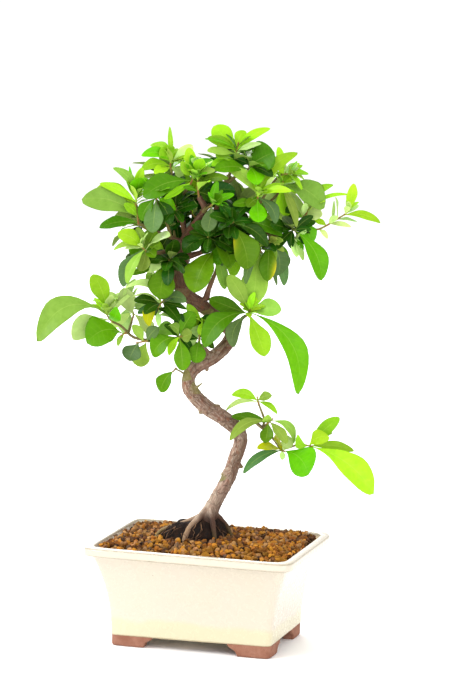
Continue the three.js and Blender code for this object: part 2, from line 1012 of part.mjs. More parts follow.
// How far the outer wall stands in from the rim's edge at a height: it flares out as a parabola.
const lipBottom = rimHeight - lipDepth;
function wallInset(height) {
  const rise = (height - footHeight) / (lipBottom - footHeight);
  return lipOverhang + wallFlare * (1 - rise ** 2);
}

function potRing(inset, height) {
  const rise = THREE.MathUtils.clamp((height - footHeight) / (rimHeight - footHeight), 0, 1);
  const squareness = THREE.MathUtils.lerp(baseSquareness, rimSquareness, rise);
  return bowedRing(rimHalfLength - inset, rimHalfWidth - inset, height, squareness);
}

const floorHeight = footHeight + floorThickness;

// The inner wall, as shares of the way from the floor to the lip.
const insideShares = [0, 0.33, 0.66, 0.94];
function insideRing(share, gap) {
  const height = THREE.MathUtils.lerp(floorHeight, lipBottom, share);
  return potRing(wallInset(height) + wallThickness + gap, height);
}

function makePotBody() {
  const wallHeights = [0, 0.3, 0.6, 0.83, 1].map((share) =>
    THREE.MathUtils.lerp(footHeight, lipBottom, share),
  );
  const outside = wallHeights.map((height) => potRing(wallInset(height), height));
  // The lip: a plain outer face with its edges eased and a flat top, as [inset, drop from the top].
  const lip = [
    [0, 5.6],
    [0, 1.4],
    [0.7, 0],
    [lipWidth, 0],
  ].map(([inset, drop]) => potRing(inset, rimHeight - drop));
  const inside = [...insideShares].reverse().map((share) => insideRing(share, 0));
  return solidOf(loft([...outside, ...lip, ...inside]));
}

// The opening between two feet: straight at the ground, then an ogee curve inwards to the top.
function gapShape(halfWidth) {
  const top = footHeight - 0.6;
  const shape = new THREE.Shape();
  shape.moveTo(-halfWidth - 7, -1);
  shape.lineTo(-halfWidth - 7, 1.5);
  shape.quadraticCurveTo(-halfWidth - 6.6, 4, -halfWidth - 3.8, 5);
  shape.quadraticCurveTo(-halfWidth - 0.8, 6, -halfWidth, top);
  shape.lineTo(halfWidth, top);
  shape.quadraticCurveTo(halfWidth + 0.8, 6, halfWidth + 3.8, 5);
  shape.quadraticCurveTo(halfWidth + 6.6, 4, halfWidth + 7, 1.5);
  shape.lineTo(halfWidth + 7, -1);
  return shape;
}

function makeGap(halfWidth, turn) {
  const depth = 2 * rimHalfLength;
  const geometry = new THREE.ExtrudeGeometry(gapShape(halfWidth), {
    depth,
    bevelEnabled: false,
    curveSegments: 3,
  });
  geometry.translate(0, 0, -depth / 2);
  geometry.rotateX(Math.PI / 2);
  geometry.rotateZ(turn);
  return solidOf(geometry);
}

function makePot() {
  const footInset = wallInset(footHeight) + 0.4;
  const footTop = footHeight + 1;
  const ringSolid = (inset, low, high) => solidOf(loft([potRing(inset, low), potRing(inset, high)]));
  const outer = ringSolid(footInset, 0, footTop);
  const inner = ringSolid(footInset + footThickness, -1, footTop + 1);
  const feet = outer
    .subtract(inner)
    .subtract(makeGap(footGapAlong, 0))
    .subtract(makeGap(footGapAcross, Math.PI / 2));
  let pot = makePotBody().add(feet);
  for (const side of [-1, 1]) {
    const drain = new THREE.CylinderGeometry(drainRadius, drainRadius, 2 * rimHeight, 16);
    drain.rotateX(Math.PI / 2);
    drain.translate(side * drainOffset, 0, 0);
    const below = solidOf(drain).intersect(ringSolid(footInset + footThickness, 0, floorHeight + 2));
    pot = pot.subtract(below);
  }
  return pot;
}

function makeDrainMesh(side) {
  const middle = floorHeight + clearance + meshThickness / 2;
  const plate = new THREE.BoxGeometry(meshSide, meshSide, meshThickness);
  plate.translate(side * drainOffset, 0, middle);
  let net = solidOf(plate);
  const pitch = meshSide / (meshCells + 0.5);
  for (let row = 0; row < meshCells; row++) {
    for (let column = 0; column < meshCells; column++) {
      const cell = new THREE.BoxGeometry(pitch * 0.62, pitch * 0.62, 2 * meshThickness);
      const right = (column - (meshCells - 1) / 2) * pitch;
      const back = (row - (meshCells - 1) / 2) * pitch;
      cell.translate(side * drainOffset + right, back, middle);
      net = net.subtract(solidOf(cell));
    }
  }
  return net;
}

// The bed of granules: it fills the pot, and its top is rough and mounded towards the trunk.
function makeSoil() {
  const draw = seeded(11);
  const bottom = floorHeight + 2 * clearance + meshThickness;
  const filling = solidOf(
    loft([
      potRing(wallInset(bottom) + wallThickness + clearance, bottom),
      ...insideShares.slice(1).map((share) => insideRing(share, clearance)),
      potRing(lipWidth + clearance, rimHeight),
      potRing(lipWidth + clearance, rimHeight + 5),
    ]),
  );
  const layer = (share) =>
    bowedRing(rimHalfLength * share, rimHalfWidth * share, 0, rimSquareness, soilRingPoints);
  const rings = [layer(1)];
  for (let level = 0; level < soilRings; level++) {
    const share = 0.98 * (1 - level / soilRings);
    const rough = layer(share);
    for (const point of rough) {
      point.x += 2 * draw() - 1;
      point.y += 2 * draw() - 1;
      point.z = soilEdgeHeight + soilMound * (1 - share ** 2) + soilTilt * point.x;
      point.z += granuleRelief * (2 * draw() - 1);
    }
    rings.push(rough);
  }
  return solidOf(loft(rings)).intersect(filling);
}

// The lump of dark soil and fine roots under the trunk, wider than the trunk's own roots.
function makeRootBall(grow) {
  const levels = 5;
  const sides = 14;
  const rings = [];
  for (let level = 0; level <= levels; level++) {
    const rise = level / levels;
    const share = Math.sqrt(1 - (0.93 * rise) ** 2.6);
    const height = THREE.MathUtils.lerp(rootBallBottom - grow, rootBallTop + grow, rise ** 0.7);
    rings.push(
      Array.from({ length: sides }, (_, index) => {
        const angle = (2 * Math.PI * index) / sides;
        const lump = 1 + 0.06 * Math.sin(5 * angle + 2 * level);
        return new THREE.Vector3(
          rootBallCentre[0] + (rootBallHalfLength * share * lump + grow) * Math.cos(angle),
          rootBallCentre[1] + (rootBallHalfWidth * share * lump + grow) * Math.sin(angle),
          height,
        );
      }),
    );
  }
  return solidOf(loft(rings));
}

// A round tapering limb through points given as [right, back, up, radius], with a ring at each point.
function makeLimb(path, sides, grow = 0) {
  const points = path.map(([right, back, up]) => new THREE.Vector3(right, back, up));
  const curve = new THREE.CatmullRomCurve3(points, false, "catmullrom", 0.5);
  const steps = path.length - 1;
  const heading = (share) => {
    const before = curve.getPoint(Math.max(share - 0.01, 0));
    return curve.getPoint(Math.min(share + 0.01, 1)).sub(before).normalize();
  };
  let forward = heading(0);
  const side = new THREE.Vector3(0, 1, 0).cross(forward).normalize();
  const rings = points.map((centre, step) => {
    const ahead = heading(step / steps);
    side.applyQuaternion(new THREE.Quaternion().setFromUnitVectors(forward, ahead));
    forward = ahead;
    const other = forward.clone().cross(side);
    const radius = path[step][3] + grow;
    return Array.from({ length: sides }, (_, index) => {
      const angle = (2 * Math.PI * index) / sides;
      return centre
        .clone()
        .addScaledVector(side, radius * Math.cos(angle))
        .addScaledVector(other, radius * Math.sin(angle));
    });
  });
  return solidOf(loft(rings));
}

function makeWood(grow) {
  let wood = makeLimb(trunkPath, trunkSides, grow);
  for (const path of [...Object.values(roots), ...Object.values(limbs)]) {
    const sides = path[0][3] > thickLimbRadius ? 5 : 4;
    wood = wood.add(makeLimb(path, sides, grow));
  }
  return wood;
}

// A leaf's half width along its length, as a share of its widest: blunt beyond the middle.
function bladeOutline(share) {
  return Math.sin(Math.PI * share ** 1.6) ** 0.6;
}

// A folded, arched blade on a short stalk, from its root in the stem to its tip. A narrow one is
// three-sided, with its fold filled.
function makeLeaf({ root, reach, width, bow, face }, grow = 0) {
  const along = reach.clone().normalize();
  const rise = new THREE.Vector3(0, 0, 1).addScaledVector(along, -along.z).normalize();
  const across = face.clone().cross(along).normalize();
  const up = along.clone().cross(across);
  const shares = width < foldedLeafWidth ? [0, 0.42, 0.86, 1] : [0, 0.3, 0.62, 0.9, 1];
  const rings = shares.map((share) => {
    const centre = root.clone().addScaledVector(reach, share);
    centre.addScaledVector(rise, 4 * bow * share * (1 - share));
    const tip = share === 1;
    const half = (tip ? 0 : Math.max(stalkHalfWidth, (width / 2) * bladeOutline(share))) + grow;
    const thick = (tip ? 0 : share ? bladeThickness / 2 : stalkHalfWidth) + grow;
    const lift = bladeFold * half;
    const right = centre.clone().addScaledVector(across, half).addScaledVector(up, lift);
    const left = centre.clone().addScaledVector(across, -half).addScaledVector(up, lift);
    const keel = centre.clone().addScaledVector(up, -thick);
    if (width < foldedLeafWidth) return [right, left, keel];
    return [right, centre.clone().addScaledVector(up, thick), left, keel];
  });
  return solidOf(loft(rings, true));
}

// The sprays stand off their limbs' ends by the clearance, along the stem.
function makeStem(spray, roomyWood) {
  const limb = spray.from === "trunk" ? trunkPath : limbs[spray.from];
  const start = new THREE.Vector3(...limb[limb.length - 1].slice(0, 3));
  const points = spray.stem.map((point) => new THREE.Vector3(...point));
  const away = points[0].clone().sub(start).setLength(clearance);
  const curve = new THREE.CatmullRomCurve3([start.add(away), ...points], false, "catmullrom", 0.5);
  const radii = [stemRadius, ...points.map(() => stemTipRadius)];
  const path = curve.points.map(({ x, y, z }, index) => [x, y, z, radii[index]]);
  return { curve, solid: mainBody(makeLimb(path, stemSides).subtract(roomyWood)) };
}

// The ways a drawn leaf may be bent clear: its tip moved backwards or forwards.
const tipShifts = [0, -3, 3, -6, 6, -10, 10, -14, 14, -18, 18];

function shownLeaf(curve, place, [right, back, up, width, bow], shift) {
  const root = curve.getPoint(0.2 + 0.8 * place);
  const reach = new THREE.Vector3(right, back + shift, up).sub(root);
  const face = new THREE.Vector3(0.25 * Math.sign(reach.x), -0.85, 0.5);
  return { root, reach, width, bow, face };
}

// Further leaves go round the stem by the golden angle, the lower ones more spread.
const fillTurns = [0, 0.5, -0.5, 1, -1, 1.6, -1.6, 2.4];

function fillLeaf(curve, index, place, draws, turn) {
  const root = curve.getPoint(0.2 + 0.8 * place);
  const ahead = curve.getPoint(1).sub(curve.getPoint(0)).normalize();
  const side = new THREE.Vector3(0, 0, 1).cross(ahead).normalize();
  const other = ahead.clone().cross(side);
  const angle = index * goldenAngle + 0.5 * draws[0] + turn;
  const spread = side.multiplyScalar(Math.cos(angle)).addScaledVector(other, Math.sin(angle));
  const length = THREE.MathUtils.lerp(...fillLeafLength, draws[1]);
  const lift = 0.15 + 0.75 * place + 0.3 * draws[2];
  const reach = spread.addScaledVector(ahead, lift).setLength(length);
  const face = ahead.multiplyScalar(0.8).add(new THREE.Vector3(0, 0, 0.6));
  return { root, reach, width: fillLeafShape * length, bow: 0.09 * length, face };
}

const treeSolids = new Map();
const bladesOf = new Map();

function touches(solid, others) {
  const box = solid.boundingBox();
  return others.some((other) => {
    const otherBox = other.boundingBox();
    const apart = [0, 1, 2].some(
      (axis) => box.min[axis] > otherBox.max[axis] || otherBox.min[axis] > box.max[axis],
    );
    return !apart && solid.intersect(other).volume() > 1e-9;
  });
}

// Places the first way of bending a leaf that clears everything else, or failing that only other nodes.
function placeLeaf(name, ways) {
  const others = [...treeSolids].filter(([other]) => other !== name).map(([, solid]) => solid);
  const clear = ways.filter((leaf) => !touches(makeLeaf(leaf, leafClearance), others));
  const outer = (leaf) => ({
    ...leaf,
    root: leaf.root.clone().addScaledVector(leaf.reach, 0.3),
    reach: leaf.reach.clone().multiplyScalar(0.7),
  });
  const free = clear.find((leaf) => !touches(makeLeaf(outer(leaf)), bladesOf.get(name)));
  const chosen = free ?? clear[0];
  if (!chosen) return false;
  const blade = makeLeaf(chosen);
  bladesOf.get(name).push(blade);
  treeSolids.set(name, treeSolids.get(name).add(blade));
  return true;
}

function growSprays(roomyWood) {
  const curves = new Map();
  for (const [name, spray] of Object.entries(sprays)) {
    const { curve, solid } = makeStem(spray, roomyWood);
    curves.set(name, curve);
    treeSolids.set(name, solid);
    bladesOf.set(name, []);
  }
  // The leaves stand evenly up the stem, the further ones below those that are given.
  for (const [name, spray] of Object.entries(sprays)) {
    const count = spray.more + spray.leaves.length;
    spray.leaves.forEach((row, index) => {
      const place = (spray.more + index + 0.5) / count;
      placeLeaf(name, tipShifts.map((shift) => shownLeaf(curves.get(name), place, row, shift)));
    });
  }
  const draw = seeded(29);
  for (const [name, spray] of Object.entries(sprays)) {
    for (let index = 0; index < spray.more; index++) {
      const place = (index + 0.5) / (spray.more + spray.leaves.length);
      const draws = [draw(), draw(), draw()];
      const way = (turn) => fillLeaf(curves.get(name), index, place, draws, turn);
      placeLeaf(name, fillTurns.map(way));
    }
  }
}

const glaze = new THREE.MeshStandardMaterial({ color: 0xfbf1d8, roughness: 0.25 });
const granules = new THREE.MeshStandardMaterial({ color: 0xa9713a, roughness: 0.95 });
const peat = new THREE.MeshStandardMaterial({ color: 0x3a2a20, roughness: 0.95 });
const bark = new THREE.MeshStandardMaterial({ color: 0x8d7362, roughness: 0.85 });
const plastic = new THREE.MeshStandardMaterial({ color: 0x2c2f2e, roughness: 0.6 });
const leafMaterials = Object.fromEntries(
  Object.entries(tones).map(([tone, color]) => [
    tone,
    new THREE.MeshStandardMaterial({ color, roughness: 0.4 }),
  ]),
);

function buildBonsai() {
  const bonsai = new THREE.Group();
  const tree = new THREE.Group();
  tree.rotation.z = viewTurn;
  const turned = (solid, angle) => solidOf(geometryOf(solid).rotateZ(angle));

  const pot = makePot();
  const wood = makeWood(0);
  const roomyWood = makeWood(clearance);
  const rootBall = makeRootBall(0).subtract(roomyWood);
  const soil = makeSoil()
    .subtract(turned(makeRootBall(clearance), viewTurn))
    .subtract(turned(roomyWood, viewTurn));
  bonsai.add(meshOf(pot, "pot", glaze));
  bonsai.add(meshOf(makeDrainMesh(-1), "drainage_mesh_left", plastic));
  bonsai.add(meshOf(makeDrainMesh(1), "drainage_mesh_right", plastic));
  bonsai.add(meshOf(soil, "soil", granules));
  tree.add(meshOf(rootBall, "root_ball", peat));
  tree.add(meshOf(wood, "trunk", bark));

  treeSolids.set("pot", turned(pot, -viewTurn));
  treeSolids.set("soil", turned(soil, -viewTurn));
  treeSolids.set("root_ball", rootBall);
  treeSolids.set("trunk", wood);
  growSprays(roomyWood);
  for (const [name, spray] of Object.entries(sprays)) {
    tree.add(meshOf(treeSolids.get(name), `spray_${name}`, leafMaterials[spray.tone]));
  }
  bonsai.add(tree);
  return bonsai;
}

const bonsai = buildBonsai();
const box = new THREE.Box3().setFromObject(bonsai, true);
const middle = box.getCenter(new THREE.Vector3());
bonsai.position.set(-middle.x, -middle.y, -box.min.z);

export default bonsai;
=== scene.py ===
import math
import random

import bmesh
import bpy
import numpy as np
from mathutils import Matrix, Vector, kdtree, noise
from mathutils.bvhtree import BVHTree


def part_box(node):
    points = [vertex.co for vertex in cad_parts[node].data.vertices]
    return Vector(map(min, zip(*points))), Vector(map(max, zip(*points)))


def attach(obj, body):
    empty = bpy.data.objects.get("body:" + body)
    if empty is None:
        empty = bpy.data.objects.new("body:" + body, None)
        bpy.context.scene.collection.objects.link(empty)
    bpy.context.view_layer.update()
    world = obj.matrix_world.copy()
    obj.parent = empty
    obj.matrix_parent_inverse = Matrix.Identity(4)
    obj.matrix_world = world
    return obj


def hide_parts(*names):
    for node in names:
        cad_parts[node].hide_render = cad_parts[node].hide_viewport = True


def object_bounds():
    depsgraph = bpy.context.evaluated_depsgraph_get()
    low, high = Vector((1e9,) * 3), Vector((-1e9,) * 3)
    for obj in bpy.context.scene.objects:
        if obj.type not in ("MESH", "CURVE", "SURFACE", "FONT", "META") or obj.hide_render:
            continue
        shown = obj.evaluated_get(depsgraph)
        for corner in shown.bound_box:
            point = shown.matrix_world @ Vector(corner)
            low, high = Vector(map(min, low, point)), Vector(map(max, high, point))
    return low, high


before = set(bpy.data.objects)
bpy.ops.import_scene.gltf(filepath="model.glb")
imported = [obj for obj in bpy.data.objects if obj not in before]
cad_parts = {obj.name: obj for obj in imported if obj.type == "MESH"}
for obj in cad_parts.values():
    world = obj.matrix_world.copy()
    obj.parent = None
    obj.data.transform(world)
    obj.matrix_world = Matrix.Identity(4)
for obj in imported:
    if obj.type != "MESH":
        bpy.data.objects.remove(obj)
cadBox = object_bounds()
print("firethorn bonsai: frame loaded with", len(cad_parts), "nodes")

# everything below is worked out in millimetres from the middle of the pot, at the ground
potLow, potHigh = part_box("pot")
potMiddle = np.array([(potLow.x + potHigh.x) / 2, (potLow.y + potHigh.y) / 2, potLow.z])
viewTurn = math.radians(17)  # the tree's tables run across and away from the side it is shown from
treeTurn = np.array([
    [math.cos(viewTurn), -math.sin(viewTurn), 0],
    [math.sin(viewTurn), math.cos(viewTurn), 0],
    [0, 0, 1],
])


def treePoints(points):
    return np.asarray(points, float) @ treeTurn.T


def meshPoints(mesh):
    corners = np.empty(len(mesh.vertices) * 3)
    mesh.vertices.foreach_get("co", corners)
    return (corners.reshape(-1, 3) - potMiddle) * 1000


def meshNormals(mesh):
    normals = np.empty(len(mesh.vertices) * 3)
    mesh.vertex_normals.foreach_get("vector", normals)
    return normals.reshape(-1, 3)


def addPiece(name, points, faces, smooth=True):
    mesh = bpy.data.meshes.new(name)
    mesh.from_pydata((np.asarray(points) / 1000 + potMiddle).tolist(), [], faces)
    mesh.validate()
    mesh.polygons.foreach_set("use_smooth", [smooth] * len(mesh.polygons))
    piece = bpy.data.objects.new(name, mesh)
    bpy.context.scene.collection.objects.link(piece)
    return piece


def setValues(piece, name, kind, values):  # a value for each corner point, for the materials
    layer = piece.data.attributes.new(name, kind, "POINT")
    field = {"FLOAT": "value", "FLOAT_VECTOR": "vector", "FLOAT_COLOR": "color"}[kind]
    layer.data.foreach_set(field, np.asarray(values, np.float32).ravel())


def skinOf(piece):  # answers what is near a point, or below it
    faces = [tuple(face.vertices) for face in piece.data.polygons]
    return BVHTree.FromPolygons(meshPoints(piece.data).tolist(), faces)


def bakeModifiers(piece):
    evaluated = piece.evaluated_get(bpy.context.evaluated_depsgraph_get())
    mesh = bpy.data.meshes.new_from_object(evaluated)
    piece.modifiers.clear()
    piece.data = mesh
    mesh.polygons.foreach_set("use_smooth", [True] * len(mesh.polygons))


def remesh(piece, voxel, smoothing):
    modifier = piece.modifiers.new("remesh", "REMESH")
    modifier.mode = "VOXEL"
    modifier.voxel_size = voxel / 1000
    soften = piece.modifiers.new("soften", "SMOOTH")
    soften.factor = 0.5
    soften.iterations = smoothing
    bakeModifiers(piece)


def cutPiece(piece, points, faces):
    cutter = addPiece("cutter", points, faces, smooth=False)
    modifier = piece.modifiers.new("cut", "BOOLEAN")
    modifier.operation = "DIFFERENCE"
    modifier.solver = "EXACT"
    modifier.object = cutter
    bakeModifiers(piece)
    bpy.data.objects.remove(cutter)


def ringFaces(rings, sides, tip=False):  # quads between rings of corners, closed at both ends
    faces = [tuple(reversed(range(sides)))]
    for ring in range(rings - 1):
        low, high = ring * sides, (ring + 1) * sides
        for side in range(sides):
            after = (side + 1) % sides
            faces.append((low + side, low + after, high + after, high + side))
    last = (rings - 1) * sides
    if tip:
        faces += [(last + side, last + (side + 1) % sides, last + sides) for side in range(sides)]
    else:
        faces.append(tuple(range(last, last + sides)))
    return faces


def movedOn(faces, start):  # the same faces, for corners that stand further on in a list
    return [tuple(start + corner for corner in face) for face in faces]


def alongPath(points, shares):  # a smooth curve through the points, at shares of its way
    points = np.asarray(points, float)
    knots = np.vstack([2 * points[0] - points[1], points, 2 * points[-1] - points[-2]])
    places = np.clip(np.atleast_1d(shares), 0, 1) * (len(points) - 1)
    starts = np.minimum(places.astype(int), len(points) - 2)
    part = (places - starts)[:, None]
    a, b, c, d = (knots[starts + step] for step in range(4))
    bend = 2 * a - 5 * b + 4 * c - d + part * (3 * b - a - 3 * c + d)
    return b + 0.5 * part * (c - a + part * bend)


def unit(vectors):
    vectors = np.asarray(vectors, float)
    return vectors / np.maximum(np.linalg.norm(vectors, axis=-1, keepdims=True), 1e-9)


def tubeRings(centres, radii, sides):  # rings of corners round a line, turned as little as can be
    headings = unit(np.gradient(centres, axis=0))
    across = unit(np.cross([0, 1, 0] if abs(headings[0][1]) < 0.9 else [1, 0, 0], headings[0]))
    angles = np.linspace(0, 2 * math.pi, sides, endpoint=False)
    rings, sideways = [], []
    for centre, heading, radius in zip(centres, headings, radii):
        across = unit(across - heading * np.dot(across, heading))
        other = np.cross(heading, across)
        sideways.append((across, other))
        ring = np.outer(np.cos(angles), across) + np.outer(np.sin(angles), other)
        rings.append(centre + radius * ring)
    return np.array(rings), sideways


def gatherTubes(lines, sides):
    points, faces = [], []
    for line in lines:
        rings, _ = tubeRings(line[:, :3], line[:, 3], sides)
        faces += movedOn(ringFaces(len(rings), sides), sum(len(part) for part in points))
        points.append(rings.reshape(-1, 3))
    return np.vstack(points), faces


def paint(red, green, blue):  # a painter's 0-255 colour in linear light
    parts = [value / 255 for value in (red, green, blue)]
    return tuple(p / 12.92 if p < 0.04045 else ((p + 0.055) / 1.055) ** 2.4 for p in parts) + (1,)


def feed(tree, socket, value):  # sets a number or colour, links an output
    if isinstance(value, (int, float, tuple)):
        socket.default_value = value
    else:
        tree.links.new(value, socket)


def feedAll(tree, node, inputs):
    for name, value in dict(inputs).items():
        feed(tree, node.inputs[name], value)
    return node


def addNode(tree, kind, inputs=(), **settings):
    node = tree.nodes.new("ShaderNode" + kind)
    for name, value in settings.items():
        setattr(node, name, value)
    return feedAll(tree, node, inputs)


def mathNode(tree, operation, *values, clamp=False):
    return addNode(tree, "Math", enumerate(values), operation=operation, use_clamp=clamp).outputs[0]


def times(tree, first, second):
    return mathNode(tree, "MULTIPLY", first, second)


def timesPlus(tree, first, second, third):
    return mathNode(tree, "MULTIPLY_ADD", first, second, third)


def mixColours(tree, amount, first, second, blend="MIX"):
    inputs = {0: amount, 6: first, 7: second}
    return addNode(tree, "Mix", inputs, data_type="RGBA", blend_type=blend).outputs[2]


def layColours(tree, colour, look, masks):  # each mask lays its own colour of the look, at its strength
    for name, mask in masks.items():
        tint, strength = look[name]
        colour = mixColours(tree, times(tree, mask, strength), colour, tint)
    return colour


def spread(tree, value, low, high):  # eases from 0 at low to 1 at high, which may be the smaller one
    inputs = {0: value, 1: low, 2: high, 3: 0.0, 4: 1.0}
    return addNode(tree, "MapRange", inputs, interpolation_type="SMOOTHSTEP").outputs[0]


def noiseOf(tree, vector, detail, roughness, distortion):
    inputs = {"Detail": detail, "Roughness": roughness, "Distortion": distortion}
    return addNode(tree, "TexNoise", {"Vector": vector, "Scale": 1.0, **inputs}).outputs[0]


def inMillimetres(tree):
    inputs = {0: addNode(tree, "TexCoord").outputs["Object"], "Scale": 1000.0}
    return addNode(tree, "VectorMath", inputs, operation="SCALE").outputs[0]


def stretched(tree, vector, amounts):
    return addNode(tree, "VectorMath", {0: vector, 1: amounts}, operation="MULTIPLY").outputs[0]


def stored(tree, name, output="Vector"):
    return addNode(tree, "Attribute", attribute_name=name).outputs[output]


def addPart(tree, vector, part):
    return addNode(tree, "SeparateXYZ", {0: vector}).outputs[part]


def addBump(tree, shader, height, strength, depth):
    inputs = {"Height": height, "Strength": strength, "Distance": depth / 1000}
    feed(tree, shader.inputs["Normal"], addNode(tree, "Bump", inputs).outputs[0])


def startMaterial(name, shine=0.15):
    material = bpy.data.materials.new(name)
    material.use_nodes = True
    shader = material.node_tree.nodes["Principled BSDF"]
    shader.inputs["Specular IOR Level"].default_value = shine
    return material, material.node_tree, shader


def groupOf(name, inputs, outputs):  # an input without a starting value is a place
    group = bpy.data.node_groups.new(name, "ShaderNodeTree")
    for label, value in inputs.items():
        kind = "NodeSocketVector" if value is None else "NodeSocketFloat"
        socket = group.interface.new_socket(label, in_out="INPUT", socket_type=kind)
        if value is not None:
            socket.default_value = value
    for label in outputs:
        group.interface.new_socket(label, in_out="OUTPUT", socket_type="NodeSocketFloat")
    return group, group.nodes.new("NodeGroupInput").outputs, group.nodes.new("NodeGroupOutput").inputs


def placeBySize(group, given):
    inputs = {0: given["Place"], "Scale": mathNode(group, "DIVIDE", 1.0, given["Size"])}
    return addNode(group, "VectorMath", inputs, operation="SCALE").outputs[0]


def makeSoftPatches():  # broad uneven patches: firing, weather, moisture
    inputs = {"Place": None, "Size": 10.0, "Contrast": 0.5}
    group, given, result = groupOf("softPatches", inputs, ["Mask"])
    cloud = noiseOf(group, placeBySize(group, given), 3, 0.6, 0.4)
    contrast = times(group, given["Contrast"], 4.0)
    lifted = timesPlus(group, mathNode(group, "SUBTRACT", cloud, 0.5), contrast, 0.5)
    feed(group, result["Mask"], mathNode(group, "ADD", lifted, 0.0, clamp=True))
    return group


def makeFineGrain():  # the tooth of clay, bark and plastic: a height, and how open the pores are
    inputs = {"Place": None, "Size": 1.0, "Pores": 0.3}
    group, given, result = groupOf("fineGrain", inputs, ["Height", "Pore"])
    place = placeBySize(group, given)
    cells = addNode(group, "TexVoronoi", {"Vector": place, "Scale": 0.8}, feature="F1").outputs["Distance"]
    sunk = times(group, spread(group, cells, 0.34, 0.12), given["Pores"])
    feed(group, result["Height"], mathNode(group, "SUBTRACT", noiseOf(group, place, 6, 0.7, 0.0), sunk))
    feed(group, result["Pore"], sunk)
    return group


softPatches = makeSoftPatches()
fineGrain = makeFineGrain()


def patchesOf(tree, place, size, contrast):
    inputs = {"Place": place, "Size": size, "Contrast": contrast}
    return addNode(tree, "Group", inputs, node_tree=softPatches).outputs[0]


def grainOf(tree, place, size, pores):
    inputs = {"Place": place, "Size": size, "Pores": pores}
    return addNode(tree, "Group", inputs, node_tree=fineGrain).outputs


# a matt look names its patches by size and contrast, its grain by size and pores, its roughness by how far
# the patches change it and what it starts from, and its bump by strength and depth
def startSkin(name, look):
    material, tree, shader = startMaterial(name)
    place = inMillimetres(tree)
    patches, grain = patchesOf(tree, place, *look["patches"]), grainOf(tree, place, *look["grain"])
    feed(tree, shader.inputs["Roughness"], timesPlus(tree, patches, *look["roughness"]))
    addBump(tree, shader, grain["Height"], *look["bump"])
    return material, tree, shader.inputs["Base Color"], patches, grain["Pore"]


def makeSkin(name, look):
    material, tree, target, patches, pore = startSkin(name, look)
    colour = mixColours(tree, patches, look["colour"], look["patch"])
    if "pit" in look:
        colour = mixColours(tree, pore, colour, look["pit"])
    feed(tree, target, colour)
    return material


print("shared finishes ready")

pot = {
    "halfLength": 75, "halfWidth": 58, "height": 71.5, "corners": 360, "bendPull": 14,
    "squareness": 24, "squarenessLost": 9,  # the outline is squarer at the foot than at the lip
    "footHeight": 9.2, "footThickness": 9, "footInset": 17.2, "footCorners": 200,
    "gapAlong": 26.5, "gapAcross": 14, "floorHeight": 14.4, "wallThickness": 4.5, "flare": 11.8,
    "lipOverhang": 5, "lipBottom": 64.5, "drainRadius": 6, "drainOffset": 26, "drainSides": 40,
    "wobble": 0.22, "wobbleScale": 0.022, "glazeRun": -1.1, "glazeTilt": 0.013, "glazeUneven": 0.25,
    "glazeReach": 12, "footVoxel": 0.7, "footRough": 0.07,
}
# from the wall's top over the lip to its inner edge: [inset, height, how thin the glaze lies]
lipProfile = [
    (4.4, 64.6, 0.1), (3.2, 64.75, 0.2), (2, 65, 0.5), (1, 65.3, 0.9), (0.4, 65.65, 1),
    (0.1, 66.15, 0.5), (0, 66.8, 0.2), (0, 68.4, 0.1), (0.05, 69.4, 0.2), (0.2, 70, 0.5),
    (0.5, 70.35, 1), (0.75, 70.6, 1), (0.7, 70.85, 0.8), (0.75, 71.1, 0.4), (1.1, 71.38, 0.3),
    (1.8, 71.5, 0.2), (3.5, 71.48, 0.1), (4.8, 71.44, 0.2), (5.5, 71.3, 0.6), (5.85, 71, 1),
    (6, 70.5, 1.1), (6.3, 69.3, 1.3), (7.2, 67, 1.6),
]
insideThin = 1.6  # marks the pot's inside for the glaze


def wallInset(height):
    rise = (height - pot["footHeight"]) / (pot["lipBottom"] - pot["footHeight"])
    return pot["lipOverhang"] + pot["flare"] * (1 - rise**2)


def potRing(inset, height, count):  # an oblong with slightly bowed sides and rounded corners
    rise = np.clip((height - pot["footHeight"]) / (pot["height"] - pot["footHeight"]), 0, 1)
    power = 2 / (pot["squareness"] - pot["squarenessLost"] * rise)
    angles = np.linspace(0, 2 * math.pi, 14401)
    across, along = np.cos(angles), np.sin(angles)
    ring = np.stack([
        (pot["halfLength"] - inset) * np.sign(across) * np.abs(across) ** power,
        (pot["halfWidth"] - inset) * np.sign(along) * np.abs(along) ** power,
    ], axis=1)
    steps = np.linalg.norm(np.diff(ring, axis=0), axis=1)
    headings = unit(np.diff(ring, axis=0))
    turns = np.abs(np.cross(headings, np.roll(headings, -1, axis=0)))
    walked = np.concatenate([[0], np.cumsum(steps + pot["bendPull"] * turns)])  # more corners at the bends
    places = np.linspace(0, walked[-1], count + 1)[:-1]
    points = np.stack([np.interp(places, walked, ring[:, axis]) for axis in (0, 1)], axis=1)
    return np.column_stack([points, np.full(len(points), float(height))])


